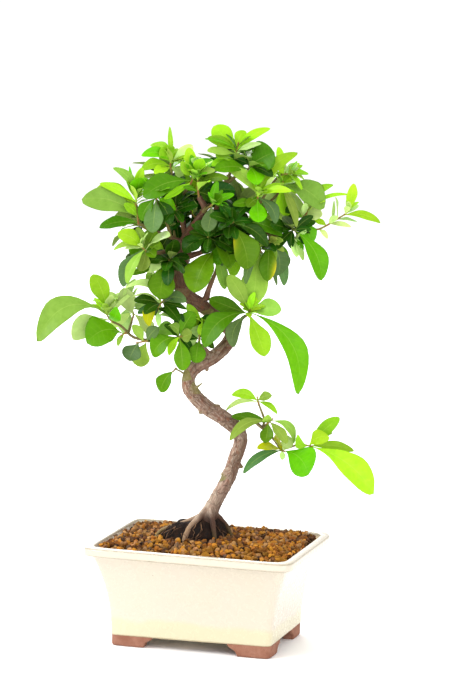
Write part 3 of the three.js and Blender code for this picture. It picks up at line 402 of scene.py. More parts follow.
def makePotBody():
    low, top, count = pot["footHeight"], pot["lipBottom"], pot["corners"]
    profile = [(pot["footInset"] + inset, low + rise, thin)
               for inset, rise, thin in ((0.8, 0.2, 2.6), (0.2, 0, 1.4), (-0.25, 0.5, 1))]
    profile += [(wallInset(height), height, 0) for height in np.linspace(low + 1.4, top, 34)]
    profile += lipProfile
    outside = len(profile) * count
    for share in np.linspace(0.96, 0, 14):
        height = pot["floorHeight"] + share * (top - pot["floorHeight"])
        profile.append((wallInset(height) + pot["wallThickness"], height, insideThin))
    profile.append((34, pot["floorHeight"], insideThin))
    points = np.vstack([potRing(inset, height, count) for inset, height, _ in profile])
    wobble = np.array([noise.noise(Vector(point * pot["wobbleScale"])) for point in points])
    points[:, :2] += (pot["wobble"] * wobble[:, None] * unit(points * [1, 1, 0]))[:, :2]  # thrown by hand
    drop = np.clip(1 - (points[:, 2] - low) / pot["glazeReach"], 0, 1)
    drop[outside:] = 0
    run = pot["glazeTilt"] * points[:, 0] + pot["glazeRun"] + pot["glazeUneven"] * wobble
    points[:, 2] += drop * run  # the glaze ran lower at the left
    body = addPiece("potBody", points, ringFaces(len(profile), count))
    setValues(body, "glazeThin", "FLOAT", np.repeat([row[2] for row in profile], count))
    sides, radius = pot["drainSides"], pot["drainRadius"]
    for offset in (-pot["drainOffset"], pot["drainOffset"]):
        drill = [(offset + radius * math.cos(angle), radius * math.sin(angle), height)
                 for height in (-5, 30) for angle in np.linspace(0, 2 * math.pi, sides, endpoint=False)]
        cutPiece(body, drill, ringFaces(2, sides))
    return body


def gapOutline(halfWidth):  # straight at the ground, then an ogee inwards to the top
    top = pot["footHeight"] - 0.6
    half = [(halfWidth + 7, -3), (halfWidth + 7, 0.6), (halfWidth + 6.9, 1.6)]
    for start, bend, end in (((7, 1.5), (6.6, 4), (3.8, 5)), ((3.8, 5), (0.8, 6), (0, top))):
        for share in np.linspace(0.15, 1, 7):
            point = [(1 - share) ** 2 * a + 2 * share * (1 - share) * b + share**2 * c
                     for a, b, c in zip(start, bend, end)]
            half.append((halfWidth + point[0], point[1]))
    return half + [(-across, up) for across, up in reversed(half)]


def makePotFeet():
    inset, thick, count = pot["footInset"], pot["footThickness"], pot["footCorners"]
    top = pot["footHeight"] + 0.35
    outline = [
        (inset + 1.1, 0), (inset + 0.3, 0.35), (inset, 1.2), (inset, top),
        (inset + thick, top), (inset + thick, 1), (inset + thick - 0.8, 0),
    ]
    rings = np.vstack([potRing(*row, count) for row in outline])
    faces = []
    for ring in range(len(outline)):
        low, high = ring * count, (ring + 1) % len(outline) * count
        faces += [(low + s, low + (s + 1) % count, high + (s + 1) % count, high + s) for s in range(count)]
    feet = addPiece("potFeet", rings, faces)
    for halfWidth, turned in ((pot["gapAlong"], False), (pot["gapAcross"], True)):
        gap = gapOutline(halfWidth)
        points = [(depth, -across, up) if turned else (across, depth, up)
                  for depth in (-90, 90) for across, up in gap]
        cutPiece(feet, points, [tuple(reversed(face)) for face in ringFaces(2, len(gap))])
    remesh(feet, pot["footVoxel"], 3)
    points = meshPoints(feet.data)
    rough = np.array([noise.noise(Vector(point * 0.9)) for point in points])
    points += meshNormals(feet.data) * (pot["footRough"] * rough)[:, None]
    points[:, 2] = np.maximum(points[:, 2], 0.02)  # stands on the ground
    feet.data.vertices.foreach_set("co", (points / 1000 + potMiddle).ravel())
    feet.data.update()
    return feet


glazeLook = {
    "cream": paint(198, 188, 172), "inside": paint(218, 194, 152), "sunlit": paint(240, 235, 222),
    # laid over the cream, each with its strength
    "lowBand": (paint(197, 189, 156), 0.85), "clouds": (paint(197, 189, 156), 0.15),
    "worn": (paint(128, 116, 84), 1.0), "bare": (paint(110, 74, 58), 1.0),
    "pinholes": (paint(80, 62, 42), 0.8),
    "bandEnds": (25.0, 20.0), "sunlitEnds": (-66.0, -60.0), "pinholeEnds": (0.036, 0.022),
    "roughness": 0.24, "coat": 0.35, "coatRoughness": 0.12,
}


def makeGlaze():
    material, tree, shader = startMaterial("creamGlaze", 0.5)
    place = inMillimetres(tree)
    broad, fine = patchesOf(tree, place, 26.0, 0.5), patchesOf(tree, place, 3.4, 0.7)
    thin = stored(tree, "glazeThin", "Fac")
    uneven = timesPlus(tree, broad, 5.0, addPart(tree, place, "Z"))
    colour = layColours(tree, glazeLook["cream"], glazeLook, {
        "lowBand": spread(tree, uneven, *glazeLook["bandEnds"]),
        "clouds": broad,
        "worn": times(tree, spread(tree, thin, 0.25, 1.1), timesPlus(tree, fine, 0.5, 0.3)),
    })
    # the inner left wall is painted near white, as painted light where it catches the light; the rest of the
    # inside takes the inside colour
    rightward = spread(tree, addPart(tree, place, "X"), *glazeLook["sunlitEnds"])
    innerColour = mixColours(tree, rightward, glazeLook["sunlit"], glazeLook["inside"])
    inner = spread(tree, timesPlus(tree, fine, 0.3, thin), 1.25, 1.6)
    dots = addNode(tree, "TexVoronoi", {"Vector": place, "Scale": 0.075}, feature="F1").outputs
    some = mathNode(tree, "GREATER_THAN", addPart(tree, dots["Color"], 0), 0.45)
    pinholes = times(tree, spread(tree, dots["Distance"], *glazeLook["pinholeEnds"]), some)
    colour = layColours(tree, mixColours(tree, inner, colour, innerColour), glazeLook, {
        "bare": spread(tree, thin, 1.9, 2.3), "pinholes": pinholes,
    })
    feedAll(tree, shader, {
        "Base Color": colour, "Roughness": timesPlus(tree, fine, 0.05, glazeLook["roughness"]),
        "Coat Weight": glazeLook["coat"], "Coat Roughness": glazeLook["coatRoughness"],
    })
    addBump(tree, shader, mathNode(tree, "SUBTRACT", broad, pinholes), 0.03, 0.5)
    return material


clayLook = {
    "colour": paint(131, 87, 69), "patch": paint(150, 107, 89), "pit": paint(94, 58, 44),
    "patches": (7.0, 0.8), "grain": (0.5, 0.5), "roughness": (0.12, 0.78), "bump": (0.5, 0.15),
}
potBody = makePotBody()
potBody.data.materials.append(makeGlaze())
potFeet = makePotFeet()
potFeet.data.materials.append(makeSkin("bareClay", clayLook))
for piece in (potBody, potFeet):
    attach(piece, "root")
    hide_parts("pot")
print("pot:", len(potBody.data.polygons), "faces, feet:", len(potFeet.data.polygons))

netLook = {
    "colour": paint(38, 42, 40), "patch": paint(96, 78, 58),
    "patches": (4.0, 0.9), "grain": (0.6, 0.2), "roughness": (0.3, 0.5), "bump": (0.3, 0.1),
}
netPlastic = makeSkin("drainNet", netLook)
for side in ("left", "right"):
    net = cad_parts["drainage_mesh_" + side]
    for place in range(max(1, len(net.material_slots))):
        if not net.material_slots:
            net.data.materials.append(netPlastic)
        net.material_slots[place].link = "OBJECT"
        net.material_slots[place].material = netPlastic

# the tree, as [right, back, up, radius] along each limb
trunkPath = [
    (-2, 0, 65, 6.2), (-2, 0, 78, 6.8), (0, 0, 88, 6.2), (3, 1, 96, 5.3), (9, 3, 107, 4.9),
    (14, 5, 117, 5.1), (17, 6, 127, 4.7), (20, 6, 136, 4.6), (21, 5, 143, 4.8), (18, 3, 150, 5.4),
    (9, -1, 158, 5.2), (-4, -6, 167, 5.4), (-14, -9, 178, 5.3), (-16, -9, 186, 4.6), (-12, -7, 194, 4.9),
    (1, -2, 201, 4.9), (10, 3, 209, 4.7), (13, 5, 217, 4.6), (6, 5, 225, 4.6), (-1, 4, 231, 4.8),
    (-9, 2, 237, 4.9), (-16, 0, 242, 4.9), (-21, -1, 247, 4.9), (-24, -2, 254, 4.8), (-24, -2, 261, 4.5),
    (-21, -2, 268, 4.1), (-22, -2, 275, 3.3), (-20, -4, 284, 2.9), (-13, -8, 295, 2.6), (-7, -13, 305, 2.3),
    (-11, -17, 314, 2),
]
rootPaths = {
    "left": [
        (-2, -2, 94, 2.3), (-6, -4, 89, 2.4), (-12, -8, 83, 2.3), (-16, -12, 76, 2), (-20, -15, 63, 1.6),
    ],
    "far_left": [
        (-2, 0, 91, 2.1), (-10, 2, 86, 2), (-19, 3, 82, 1.7), (-28, 4, 79, 1.5), (-35, 4, 75, 1.3),
        (-41, 4, 63, 1.1),
    ],
    "right": [(1, 0, 92, 2.4), (6, 1, 88, 2.2), (9, 2, 85, 1.9), (13, 3, 80, 1.6), (18, 4, 68, 1.3)],
    "middle": [(1, -3, 93, 2.5), (2, -7, 88, 2.2), (3, -10, 83, 1.9), (4, -12, 77, 1.6), (6, -13, 64, 1.3)],
    "back": [(-1, 3, 91, 2.4), (-4, 10, 87, 2.2), (-8, 17, 82, 1.9), (-13, 22, 77, 1.5), (-17, 25, 65, 1.2)],
}
limbPaths = {
    "low_left": [
        (0, -2, 200, 2.2), (-6, -6, 208, 1.7), (-12, -8, 211, 1.6), (-18, -9, 211, 1.5), (-25, -9, 214, 1.5),
        (-32, -9, 213, 1.4), (-38, -9, 212, 1.3), (-46, -8, 213, 1.2), (-55, -7, 215, 1.1),
        (-63, -6, 222, 1), (-69, -6, 225, 0.9),
    ],
    "right_rosette": [(12, 3, 217, 2.2), (17, -3, 223, 1.6), (20, -8, 229, 1.4), (23, -12, 232, 1.2)],
    "fork": [(-5, 0, 241, 2.4), (-3, -3, 249, 1.9), (0, -6, 257, 1.5), (2, -7, 264, 1.1), (3, -8, 271, 0.9)],
    "limb_right": [(-21, -2, 270, 2.6), (-12, -4, 273, 2), (-5, -6, 276, 1.5), (0, -8, 278, 1.2)],
    "limb_right_front": [(-9, -5, 274, 1.6), (-2, -10, 284, 1.3), (5, -15, 290, 1.1), (10, -20, 295, 0.9)],
    "limb_top": [
        (-15, -7, 293, 2.3), (-7, -4, 294, 1.9), (-1, -2, 301, 1.7), (4, -2, 311, 1.5), (8, -3, 322, 1.3),
        (11, -4, 333, 1.1),
    ],
    "limb_cross": [
        (-8, -5, 295, 1.9), (4, -5, 292, 1.8), (14, -6, 294, 1.7), (23, -7, 295, 1.6), (28, -10, 301, 1.3),
        (29, -13, 309, 1),
    ],
    "limb_east": [(22, -7, 295, 1.6), (33, -5, 290, 1.5), (42, -5, 287, 1.3), (52, -6, 285, 1.1)],
    "limb_far_east": [(33, -5, 290, 1.3), (45, 0, 293, 1.2), (57, 2, 294, 1.1), (65, 2, 292, 0.9)],
    "limb_back_east": [
        (-21, 0, 273, 2.4), (-11, 12, 278, 2), (1, 22, 282, 1.7), (15, 30, 284, 1.4), (28, 36, 285, 1.1),
    ],
    "limb_back_high": [
        (-17, -4, 288, 2.2), (-11, 10, 296, 1.8), (-4, 21, 305, 1.5), (3, 28, 314, 1.2), (9, 32, 323, 1),
    ],
    "limb_back_mid": [(-5, 17, 280, 1.4), (0, 34, 287, 1.2), (2, 48, 295, 1)],
    "limb_back_west": [(-21, -1, 278, 2.2), (-29, 12, 280, 1.7), (-38, 22, 282, 1.4), (-46, 28, 285, 1.1)],
    "limb_back_northwest": [(-20, -3, 285, 2), (-22, 8, 296, 1.6), (-26, 17, 306, 1.3), (-29, 22, 314, 1)],
    "limb_west": [(-23, -2, 272, 2), (-30, -6, 275, 1.6), (-38, -10, 274, 1.4), (-46, -13, 275, 1.1)],
    "limb_northwest": [
        (-21, -2, 280, 2), (-29, -5, 284, 1.6), (-39, -9, 288, 1.4), (-46, -12, 292, 1.2),
        (-52, -13, 294, 1),
    ],
    "limb_north": [
        (-20, -4, 285, 1.9), (-23, -3, 297, 1.5), (-27, -3, 310, 1.3), (-30, -4, 322, 1.1),
        (-30, -5, 329, 0.9),
    ],
    "twig_lower_west": [(-20, -2, 246, 1.6), (-27, -7, 243, 1.2), (-34, -11, 241, 0.9)],
    "thorn_twig": [(-16, -9, 187, 0.9), (-20, -11, 191, 0.7), (-25, -13, 194, 0.5)],
    "low_right": [
        (19, 4, 149, 2.3), (24, 0, 156, 1.7), (29, -3, 157, 1.4), (35, -5, 153, 1.3), (40, -6, 149, 1.1),
        (45, -6, 143, 1), (49, -6, 137, 0.9),
    ],
    "low_right_up": [(36, -5, 152, 1), (37, -5, 158, 0.9), (35, -5, 164, 0.8), (33, -5, 169, 0.7)],
    "limb_top_right": [(8, -3, 322, 1.2), (15, -6, 328, 1), (22, -9, 332, 0.8)],
    "twig_upper_left": [(-27, -3, 310, 1.2), (-21, -10, 316, 1), (-17, -16, 323, 0.8)],
    "twig_left_centre": [
        (-30, -6, 285, 1.2), (-33, -12, 296, 1), (-37, -16, 306, 0.9), (-40, -17, 311, 0.8),
    ],
    "twig_left_hang": [(-30, -6, 275, 1.1), (-30, -10, 270, 0.9)],
    "spur_far_left_low": [(-58, -7, 218, 0.9), (-60, -11, 218, 0.8)],
    "spur_low_left_a": [(-44, -8, 212, 1), (-45, -12, 213, 0.8)],
    "spur_low_left_b": [(-25, -9, 214, 1.1), (-24, -13, 216, 0.9)],
    "spur_low_left_c": [(-9, -7, 210, 1.1), (-9, -12, 214, 0.9)],
    "twig_under": [(-3, 2, 231, 1.1), (-6, -3, 227, 0.8)],
    "twig_right_top": [(30, -12, 308, 1), (36, -5, 318, 0.9), (42, -3, 326, 0.8), (46, -4, 329, 0.7)],
    "twig_right_mid": [(28, -9, 301, 1.1), (35, -2, 307, 1), (42, -2, 314, 0.9), (45, -4, 319, 0.8)],
    "spur_right_fork": [(56, 2, 294, 1), (59, -2, 297, 0.8)],
    "spur_right_droop": [(44, 0, 292, 1.1), (49, -4, 293, 1), (53, -8, 292, 0.9)],
    "spur_right_hang_a": [(38, -5, 288, 1.1), (38, -10, 285, 0.9)],
    "spur_right_hang_b": [(27, -7, 294, 1.1), (30, -9, 285, 0.9), (31, -10, 281, 0.8)],
    "spur_centre_front": [(-7, -13, 304, 1.1), (-3, -20, 308, 0.8)],
    "spur_centre_dark": [(-2, -10, 284, 1.1), (-3, -15, 285, 0.9)],
    "low_right_tip": [(48, -6, 138, 0.9), (54, -7, 139, 0.8), (59, -8, 141, 0.7)],
    "spur_low_right_mid": [(36, -5, 152, 0.9), (39, -9, 156, 0.8)],
    "spur_back_east": [(15, 30, 284, 1.1), (17, 36, 292, 0.8)],
    "spur_back_high": [(-4, 21, 305, 1.1), (-10, 30, 311, 0.8)],
    "spur_back_west": [(-29, 12, 280, 1.1), (-30, 24, 272, 0.8)],
    "spur_inner_left": [(-24, 3, 293, 1), (-27, -8, 301, 0.8)],
    "spur_inner_right": [(14, -6, 294, 1), (16, 4, 301, 0.8)],
    "knob_upper": [(-4, -3, 195, 2.2), (-3, -3, 191, 1.2)],
    "knob_low": [(-5, -6, 166, 2.6), (-8, -8, 162, 1.2)],
    "knob_top": [(4, -3, 162, 2.6), (5, -3, 168, 1.4)],
    "knob_flake": [(12, 4, 120, 2.6), (8, 3, 117, 0.9)],
    "knob_right": [(18, 6, 125, 2.8), (23, 6, 122, 1)],
    "stub_twig": [(-13, -10, 180, 1.6), (-9, -12, 182, 0.9), (-6, -13, 185, 0.5)],
    "spur_core_upper": [(-25, -3, 302, 1.1), (-20, 4, 304, 0.8)],
    "spur_core_lower": [(-12, -6, 293, 1.1), (-13, 1, 297, 0.8)],
    "spur_core_left": [(-27, -4, 284, 1.1), (-28, 3, 288, 0.8)],
    "spur_core_right": [(7, -5, 293, 1.1), (8, -10, 289, 0.8)],
    "spur_right_inner": [(36, -2, 309, 1), (40, 6, 306, 0.8)],
    "spur_left_under": [(-37, -9, 274, 1.1), (-38, -3, 269, 0.8)],
    "spur_left_light": [(-58, -7, 218, 1), (-56, 2, 224, 0.8)],
}
# each leafy shoot: its limb, its tone, how many leaves the rule adds, its stem, and the leaves that show, as
# [right, back, up] of the tip, width, bow, tone, and how far up the stem the leaf grows
sprays = {
    "top_rosette": ("limb_top", "green", 3, [(12, -5, 338), (14, -5, 344), (15, -5, 349)], [
        (-3, -17, 335, 6.5, 2, "lime", 0.25), (0, -21, 342, 9.5, 1, "lime", 0.38),
        (31, -15, 351, 4.5, 2, "pale", 0.54), (-6, -19, 346, 8, 1, "olive", 0.58),
        (-2, -1, 361, 14, 1, "lime", 0.62), (37, -9, 361, 6.5, 3, "lime", 0.71),
        (-6, -13, 354, 8, 1, "lime", 0.75), (20, 1, 358, 8, 3, "lime", 0.83),
        (-8, -21, 354, 3, 2, "bright", 0.75),
    ]),
    "top_right_leaves": ("limb_top_right", "green", 2, [(24, -10, 336)], [
        (-1, -17, 333, 11, 2, "green", 0.12), (29, -20, 323, 13, 2, "bright", 0.62),
        (40, -14, 345, 22.5, 1, "green", 0.75),
    ]),
    "crown_front_rosette": ("trunk", "lime", 1, [(-12, -18, 320), (-12, -18, 326), (-13, -18, 332)], [
        (14, -11, 318, 11, 2, "dark", 0.08), (-22, -24, 321, 4, 1, "green", 0.17),
        (1, -20, 312, 9.5, 1, "dark", 0.17), (9, -26, 328, 6.5, 3, "green", 0.42),
        (-24, -22, 338, 8, -1, "lime", 0.79), (0, -24, 333, 5.5, 1, "olive", 0.83),
        (-19, -12, 347, 8.5, -1, "lime", 0.92), (-9, -24, 341, 8.5, 1, "lime", 0.92),
        (-16, -26, 341, 7, 4, "pale", 0.96),
    ]),
    "upper_left_tuft": ("limb_north", "lime", 1, [(-31, -6, 334), (-30, -6, 338)], [
        (-42, -14, 329, 8, 1, "lime", 0.31), (-22, -2, 326, 8.5, 1, "pale", 0.31),
        (-51, -10, 331, 9, 3, "lime", 0.44), (-16, -4, 348, 10, -1, "pale", 0.69),
        (-32, 2, 360, 4, 2, "lime", 0.75), (-37, -10, 347, 12.5, 1, "lime", 0.81),
        (-45, 4, 347, 8, 4, "lime", 0.81), (-51, -12, 341, 8, 4, "bright", 0.88),
    ]),
    "upper_left_big": ("twig_upper_left", "bright", 1, [(-15, -18, 327)], [
        (-35, -18, 312, 5.5, 0, "lime", 0), (-49, -25, 314, 17, 4, "green", 0.38),
        (-6, -15, 323, 7, 1, "green", 0.62),
    ]),
    "left_centre_upper": ("twig_left_centre", "bright", 1, [(-40, -18, 315)], [
        (-42, -29, 290, 14, 1, "grey", 0.12), (-30, -21, 295, 10, 2, "dark", 0.12),
        (-50, -23, 297, 11, 2, "green", 0.38), (-27, -14, 303, 9.5, 1, "bright", 0.5),
    ]),
    "left_sprig": ("limb_northwest", "lime", 0, [(-53, -14, 301), (-54, -14, 308), (-53, -14, 315)], [
        (-79, -13, 291, 9.5, 2, "green", 0.04), (-91, -20, 311, 18, 6, "olive", 0.17),
        (-62, -22, 309, 6.5, 1, "lime", 0.25), (-81, -6, 318, 10, 4, "lime", 0.58),
        (-79, -16, 322, 7, 2, "lime", 0.71), (-61, -10, 325, 4.5, 1, "bright", 0.79),
        (-70, -18, 333, 6.5, 4, "olive", 0.92), (-51, -22, 327, 13.5, 1, "bright", 0.92),
        (-50, -10, 333, 7, 1, "lime", 0.96), (-59, -6, 333, 3, -1, "bright", 0.88),
    ]),
    "left_rosette": ("limb_west", "pale", 1, [(-48, -15, 277), (-50, -16, 279)], [
        (-50, -18, 262, 10, -1, "olive", 0.12), (-40, -20, 272, 8, 1, "green", 0.12),
        (-59, -25, 254, 8, 3, "olive", 0.38), (-62, -15, 251, 11, 4, "grey", 0.5),
        (-41, -15, 291, 12, -1, "green", 0.56), (-69, -17, 276, 4.5, 4, "olive", 0.69),
        (-66, -22, 289, 11, 2, "lime", 0.75), (-53, -14, 292, 7, 1, "olive", 0.75),
    ]),
    "left_hanging": ("twig_left_hang", "dark", 1, [(-31, -11, 267)], [
        (-27, -18, 285, 11, 1, "dark", 0.25), (-31, -23, 253, 9.5, 1, "dark", 0.38),
        (-44, -14, 261, 8, 2, "pale", 0.5), (-36, -19, 243, 19.5, 3, "green", 0.75),
    ]),
    "lower_west": ("twig_lower_west", "dark", 0, [(-36, -12, 239), (-38, -12, 235), (-38, -12, 229)], [
        (-18, -15, 242, 9, 3, "grey", 0.08), (-23, -20, 228, 9, 1, "dark", 0.17),
        (-61, -10, 249, 6, 9, "pale", 0.21), (-18, -24, 237, 5.5, 1, "dark", 0.25),
        (-46, -14, 259, 9.5, 2, "olive", 0.29), (-44, -18, 224, 9, 5, "yellow", 0.46),
        (-37, -18, 224, 4.5, 1, "pale", 0.75), (-24, -12, 225, 5.5, 4, "pale", 0.92),
        (-56, -4, 242, 2.5, 4, "pale", 0.29),
    ]),
    "far_left_rosette": ("low_left", "lime", 0, [(-71, -7, 227), (-73, -7, 230), (-74, -7, 234)], [
        (-96, -19, 214, 17.5, 4, "pale", 0.29), (-66, -17, 237, 9, -4, "bright", 0.38),
        (-70, -15, 245, 8, 1, "pale", 0.54), (-120, -21, 214, 20, 15, "olive", 0.79),
        (-83, -7, 258, 13.5, 2, "lime", 1), (-54, 3, 245, 3, 2, "pale", 0.42),
        (-81, -5, 235, 3, 1, "pale", 0.58),
    ]),
    "far_left_low": ("spur_far_left_low", "bright", 0, [(-62, -12, 217)], [
        (-65, -13, 209, 4, 1, "olive", 0.25), (-86, -22, 213, 24.5, 6, "green", 0.5),
    ]),
    "low_left_a": ("spur_low_left_a", "grey", 0, [(-51, -14, 212)], [
        (-51, -12, 195, 15.5, 0, "olive", 0), (-37, -14, 223, 9, 1, "grey", 0),
        (-55, -11, 224, 7, 1, "olive", 0.38), (-57, -20, 200, 15.5, 1, "grey", 0.88),
    ]),
    "low_left_b": ("spur_low_left_b", "green", 0, [(-22, -16, 217)], [
        (-41, -16, 203, 14.5, 4, "green", 0.25), (-39, -6, 219, 12, 3, "olive", 0.25),
        (-32, -20, 224, 7, 4, "olive", 0.38), (-20, -21, 194, 12.5, 1, "green", 0.62),
        (-30, -7, 203, 6.5, 1, "lime", 0.62), (-14, -21, 221, 10, -1, "olive", 0.75),
        (-13, -13, 234, 12, 1, "green", 0.75),
    ]),
    "low_left_c": ("spur_low_left_c", "green", 1, [(-9, -14, 217)], [
        (-11, -17, 199, 13.5, 1, "green", 0), (-5, -9, 226, 7, 1, "lime", 0.5),
    ]),
    "under_trunk_leaves": ("twig_under", "lime", 0, [(-8, -6, 225)], [
        (-18, -4, 238, 7, -1, "lime", 0.5), (-15, -11, 209, 8.5, 2, "pale", 1),
    ]),
    "stray_leaf": ("thorn_twig", "bright", 0, [(-26, -14, 193)], [
        (-35, -16, 178, 11.5, 2, "green", 1),
    ]),
    "right_rosette": ("right_rosette", "lime", 0, [(24, -15, 234), (25, -17, 236)], [
        (14, -15, 210, 11, 4, "grey", 0.12), (-3, -6, 242, 11, 0, "green", 0.38),
        (-6, -31, 212, 16.5, 8, "green", 0.5), (36, -28, 206, 15.5, 1, "lime", 0.62),
        (47, -24, 238, 13.5, 2, "olive", 0.75), (60, -16, 178, 18, 14, "bright", 0.75),
        (10, -19, 261, 12, 1, "olive", 0.88),
    ]),
    "right_crown_rosette": ("limb_cross", "lime", 0, [(29, -15, 313), (30, -16, 317)], [
        (12, -22, 309, 7, 1, "green", 0.12), (30, -25, 298, 13, -1, "bright", 0.5),
        (22, -19, 308, 8, 1, "green", 0.5), (42, -21, 297, 9, 4, "grey", 0.62),
        (9, -23, 333, 9.5, 4, "olive", 0.69), (56, -22, 345, 9, 6, "lime", 0.81),
        (52, -28, 320, 6.5, 2, "lime", 0.94), (42, -8, 332, 7.5, 2, "pale", 0.94),
        (45, -18, 324, 4.5, 1, "lime", 0.94),
    ]),
    "right_twig": ("twig_right_top", "lime", 0, [(52, -5, 330)], [
        (43, 6, 347, 6, 1, "lime", 0), (42, -6, 334, 4.5, 1, "lime", 0.12),
        (47, -1, 336, 4, 1, "pale", 0.12), (56, -8, 337, 5.5, 1, "pale", 0.38),
        (57, -5, 334, 4, 1, "pale", 0.88),
    ]),
    "right_big": ("twig_right_mid", "lime", 1, [(46, -5, 323)], [
        (49, 2, 301, 13, -1, "lime", 0.12), (63, -2, 296, 7, 3, "pale", 0.25),
        (56, -18, 294, 7, 3, "olive", 0.38), (75, -11, 307, 19, 5, "olive", 0.62),
    ]),
    "far_right_sprig": ("limb_far_east", "pale", 0, [
        (71, 0, 291), (77, -2, 294), (83, -3, 298), (89, -4, 302), (92, -4, 305)], [
        (78, -4, 285, 4, 1, "pale", 0.23), (68, 2, 297, 4.5, 1, "lime", 0.4),
        (85, -6, 301, 4.5, 1, "pale", 0.45), (94, -8, 294, 4, 1, "pale", 0.47),
        (114, -6, 297, 7, 3, "lime", 0.78), (95, -6, 324, 8, 0, "lime", 1),
        (82, 2, 311, 2.5, -1, "pale", 0.53), (99, -4, 311, 2.5, 1, "lime", 1),
    ]),
    "right_fork": ("spur_right_fork", "lime", 0, [(62, -4, 301), (64, -4, 304), (65, -4, 308)], [
        (74, -10, 303, 12, 3, "pale", 0), (67, -6, 282, 12.5, 1, "bright", 0),
        (62, -10, 311, 5.5, 1, "pale", 0.25), (73, -10, 308, 4.5, 1, "pale", 0.79),
        (81, -8, 323, 6.5, 4, "lime", 0.88), (93, -6, 316, 3, 4, "lime", 0.79),
        (74, 1, 318, 2.5, 1, "olive", 0.88),
    ]),
    "right_droop": ("spur_right_droop", "dark", 0, [(55, -10, 291)], [
        (46, -10, 301, 7, 1, "grey", 0.25), (38, -21, 297, 10, 0, "dark", 0.38),
        (52, -5, 300, 6.5, 1, "dark", 0.38), (74, -19, 258, 15, 6, "bright", 0.62),
    ]),
    "east_end": ("limb_east", "pale", 1, [(55, -7, 284)], [
        (57, -12, 273, 6.5, 1, "pale", 0.5), (61, -9, 276, 4, 2, "bright", 0.75),
    ]),
    "right_hanging_a": ("spur_right_hang_a", "olive", 0, [(38, -12, 283)], [
        (37, -21, 257, 12.5, 1, "green", 0.62), (44, -13, 260, 14.5, 4, "grey", 0.62),
        (49, -5, 252, 9, 3, "grey", 0.62), (44, 1, 251, 4.5, -1, "grey", 0.62),
    ]),
    "right_hanging_b": ("spur_right_hang_b", "green", 1, [(32, -11, 277)], [
        (22, -23, 255, 6.5, 4, "grey", 0.62), (28, -15, 241, 19.5, 1, "olive", 0.75),
    ]),
    "centre_right": ("limb_right_front", "dark", 1, [(12, -22, 297)], [
        (23, -29, 266, 21, 4, "green", 0.5), (37, -22, 281, 10, 4, "dark", 0.88),
        (47, -16, 288, 10, 4, "green", 1), (12, -24, 308, 7, 1, "dark", 1),
    ]),
    "centre_front": ("spur_centre_front", "bright", 0, [(-1, -22, 310)], [
        (-5, -25, 291, 11.5, -1, "grey", 0.38), (2, -16, 323, 9.5, 1, "grey", 0.75),
        (5, -27, 316, 9.5, 0, "green", 0.88), (11, -28, 307, 4, 1, "dark", 0.88),
    ]),
    "centre_dark": ("spur_centre_dark", "dark", 1, [(-4, -17, 286)], [
        (12, -19, 266, 15, 4, "green", 0), (-21, -22, 276, 15, 3, "dark", 0.25),
        (-13, -16, 297, 9.5, 1, "dark", 0.62),
    ]),
    "centre_hanging": ("limb_right", "grey", 0, [(2, -10, 277)], [
        (-13, -17, 249, 22.5, 4, "green", 0.62), (8, -4, 250, 8.5, 0, "olive", 1),
    ]),
    "fork_end": ("fork", "green", 1, [(4, -9, 274)], [
        (17, -10, 260, 15.5, 2, "lime", 0.5), (-1, -4, 266, 8, 1, "dark", 0.5),
    ]),
    "low_right_top": ("low_right_up", "olive", 0, [(32, -5, 173)], [
        (10, 1, 162, 4, 4, "pale", 0.25), (14, -9, 176, 7.5, 3, "lime", 0.38),
        (46, -9, 163, 4.5, 2, "lime", 0.38), (42, -9, 176, 7, 1, "olive", 0.62),
    ]),
    "low_right_mid": ("spur_low_right_mid", "olive", 0, [(42, -10, 159)], [
        (14, -5, 160, 8, 1, "green", 0.25), (38, -14, 144, 10, -1, "green", 0.25),
        (13, -22, 146, 8, 6, "olive", 0.5), (39, -12, 163, 7, -2, "olive", 0.5),
        (53, -18, 144, 8, 1, "olive", 0.5), (58, -12, 143, 7.5, 6, "olive", 0.75),
    ]),
    "low_right_lower": ("low_right", "yellow", 0, [(51, -9, 137)], [
        (32, -9, 141, 7.5, 2, "yellow", 0), (45, -11, 151, 6.5, 1, "yellow", 0),
        (23, -11, 121, 7.5, 4, "grey", 0.25), (50, -11, 131, 4.5, 0, "pale", 0.38),
        (54, -6, 148, 9, -1, "pale", 0.5), (68, -18, 122, 23, 5, "bright", 0.75),
    ]),
    "low_right_end": ("low_right_tip", "lime", 0, [(64, -9, 142), (69, -10, 141)], [
        (60, -12, 150, 6.5, -4, "lime", 0.88), (114, -20, 109, 19, 6, "lime", 0.94),
        (89, -12, 162, 10, 1, "lime", 0.94), (82, -18, 149, 11, 3, "lime", 0.94),
        (100, -6, 137, 7.5, 2, "lime", 1), (85, -6, 150, 3, 1, "olive", 0.94),
    ]),
    "back_east": ("limb_back_east", "green", 6, [(33, 39, 287), (38, 42, 289)], []),
    "back_east_upper": ("spur_back_east", "green", 5, [(18, 40, 299), (20, 42, 304)], []),
    "back_high": ("limb_back_high", "green", 6, [(11, 34, 329), (12, 36, 334)], []),
    "back_high_left": ("spur_back_high", "green", 5, [(-13, 35, 316), (-16, 38, 320)], []),
    "back_middle": ("limb_back_mid", "green", 6, [(3, 54, 300), (4, 58, 304)], []),
    "back_west": ("limb_back_west", "green", 6, [(-51, 31, 287), (-55, 33, 288)], []),
    "back_west_lower": ("spur_back_west", "green", 5, [(-30, 30, 265), (-30, 33, 260)], []),
    "back_northwest": ("limb_back_northwest", "green", 6, [(-31, 25, 319), (-34, 27, 324)], []),
    "inner_left": ("spur_inner_left", "dark", 4, [(-27, -12, 306)], []),
    "inner_right": ("spur_inner_right", "dark", 4, [(17, 6, 306)], []),
    "core_upper": ("spur_core_upper", "dark", 0, [(-17, 8, 307), (-15, 10, 312)], [
        (-20, 6, 286, 12.5, 1, "dark", 0.27), (2, 15, 311, 11, 2, "dark", 0.4),
        (-3, 16, 323, 13.5, 1, "dark", 0.53), (-37, 9, 309, 12, 2, "bright", 0.67),
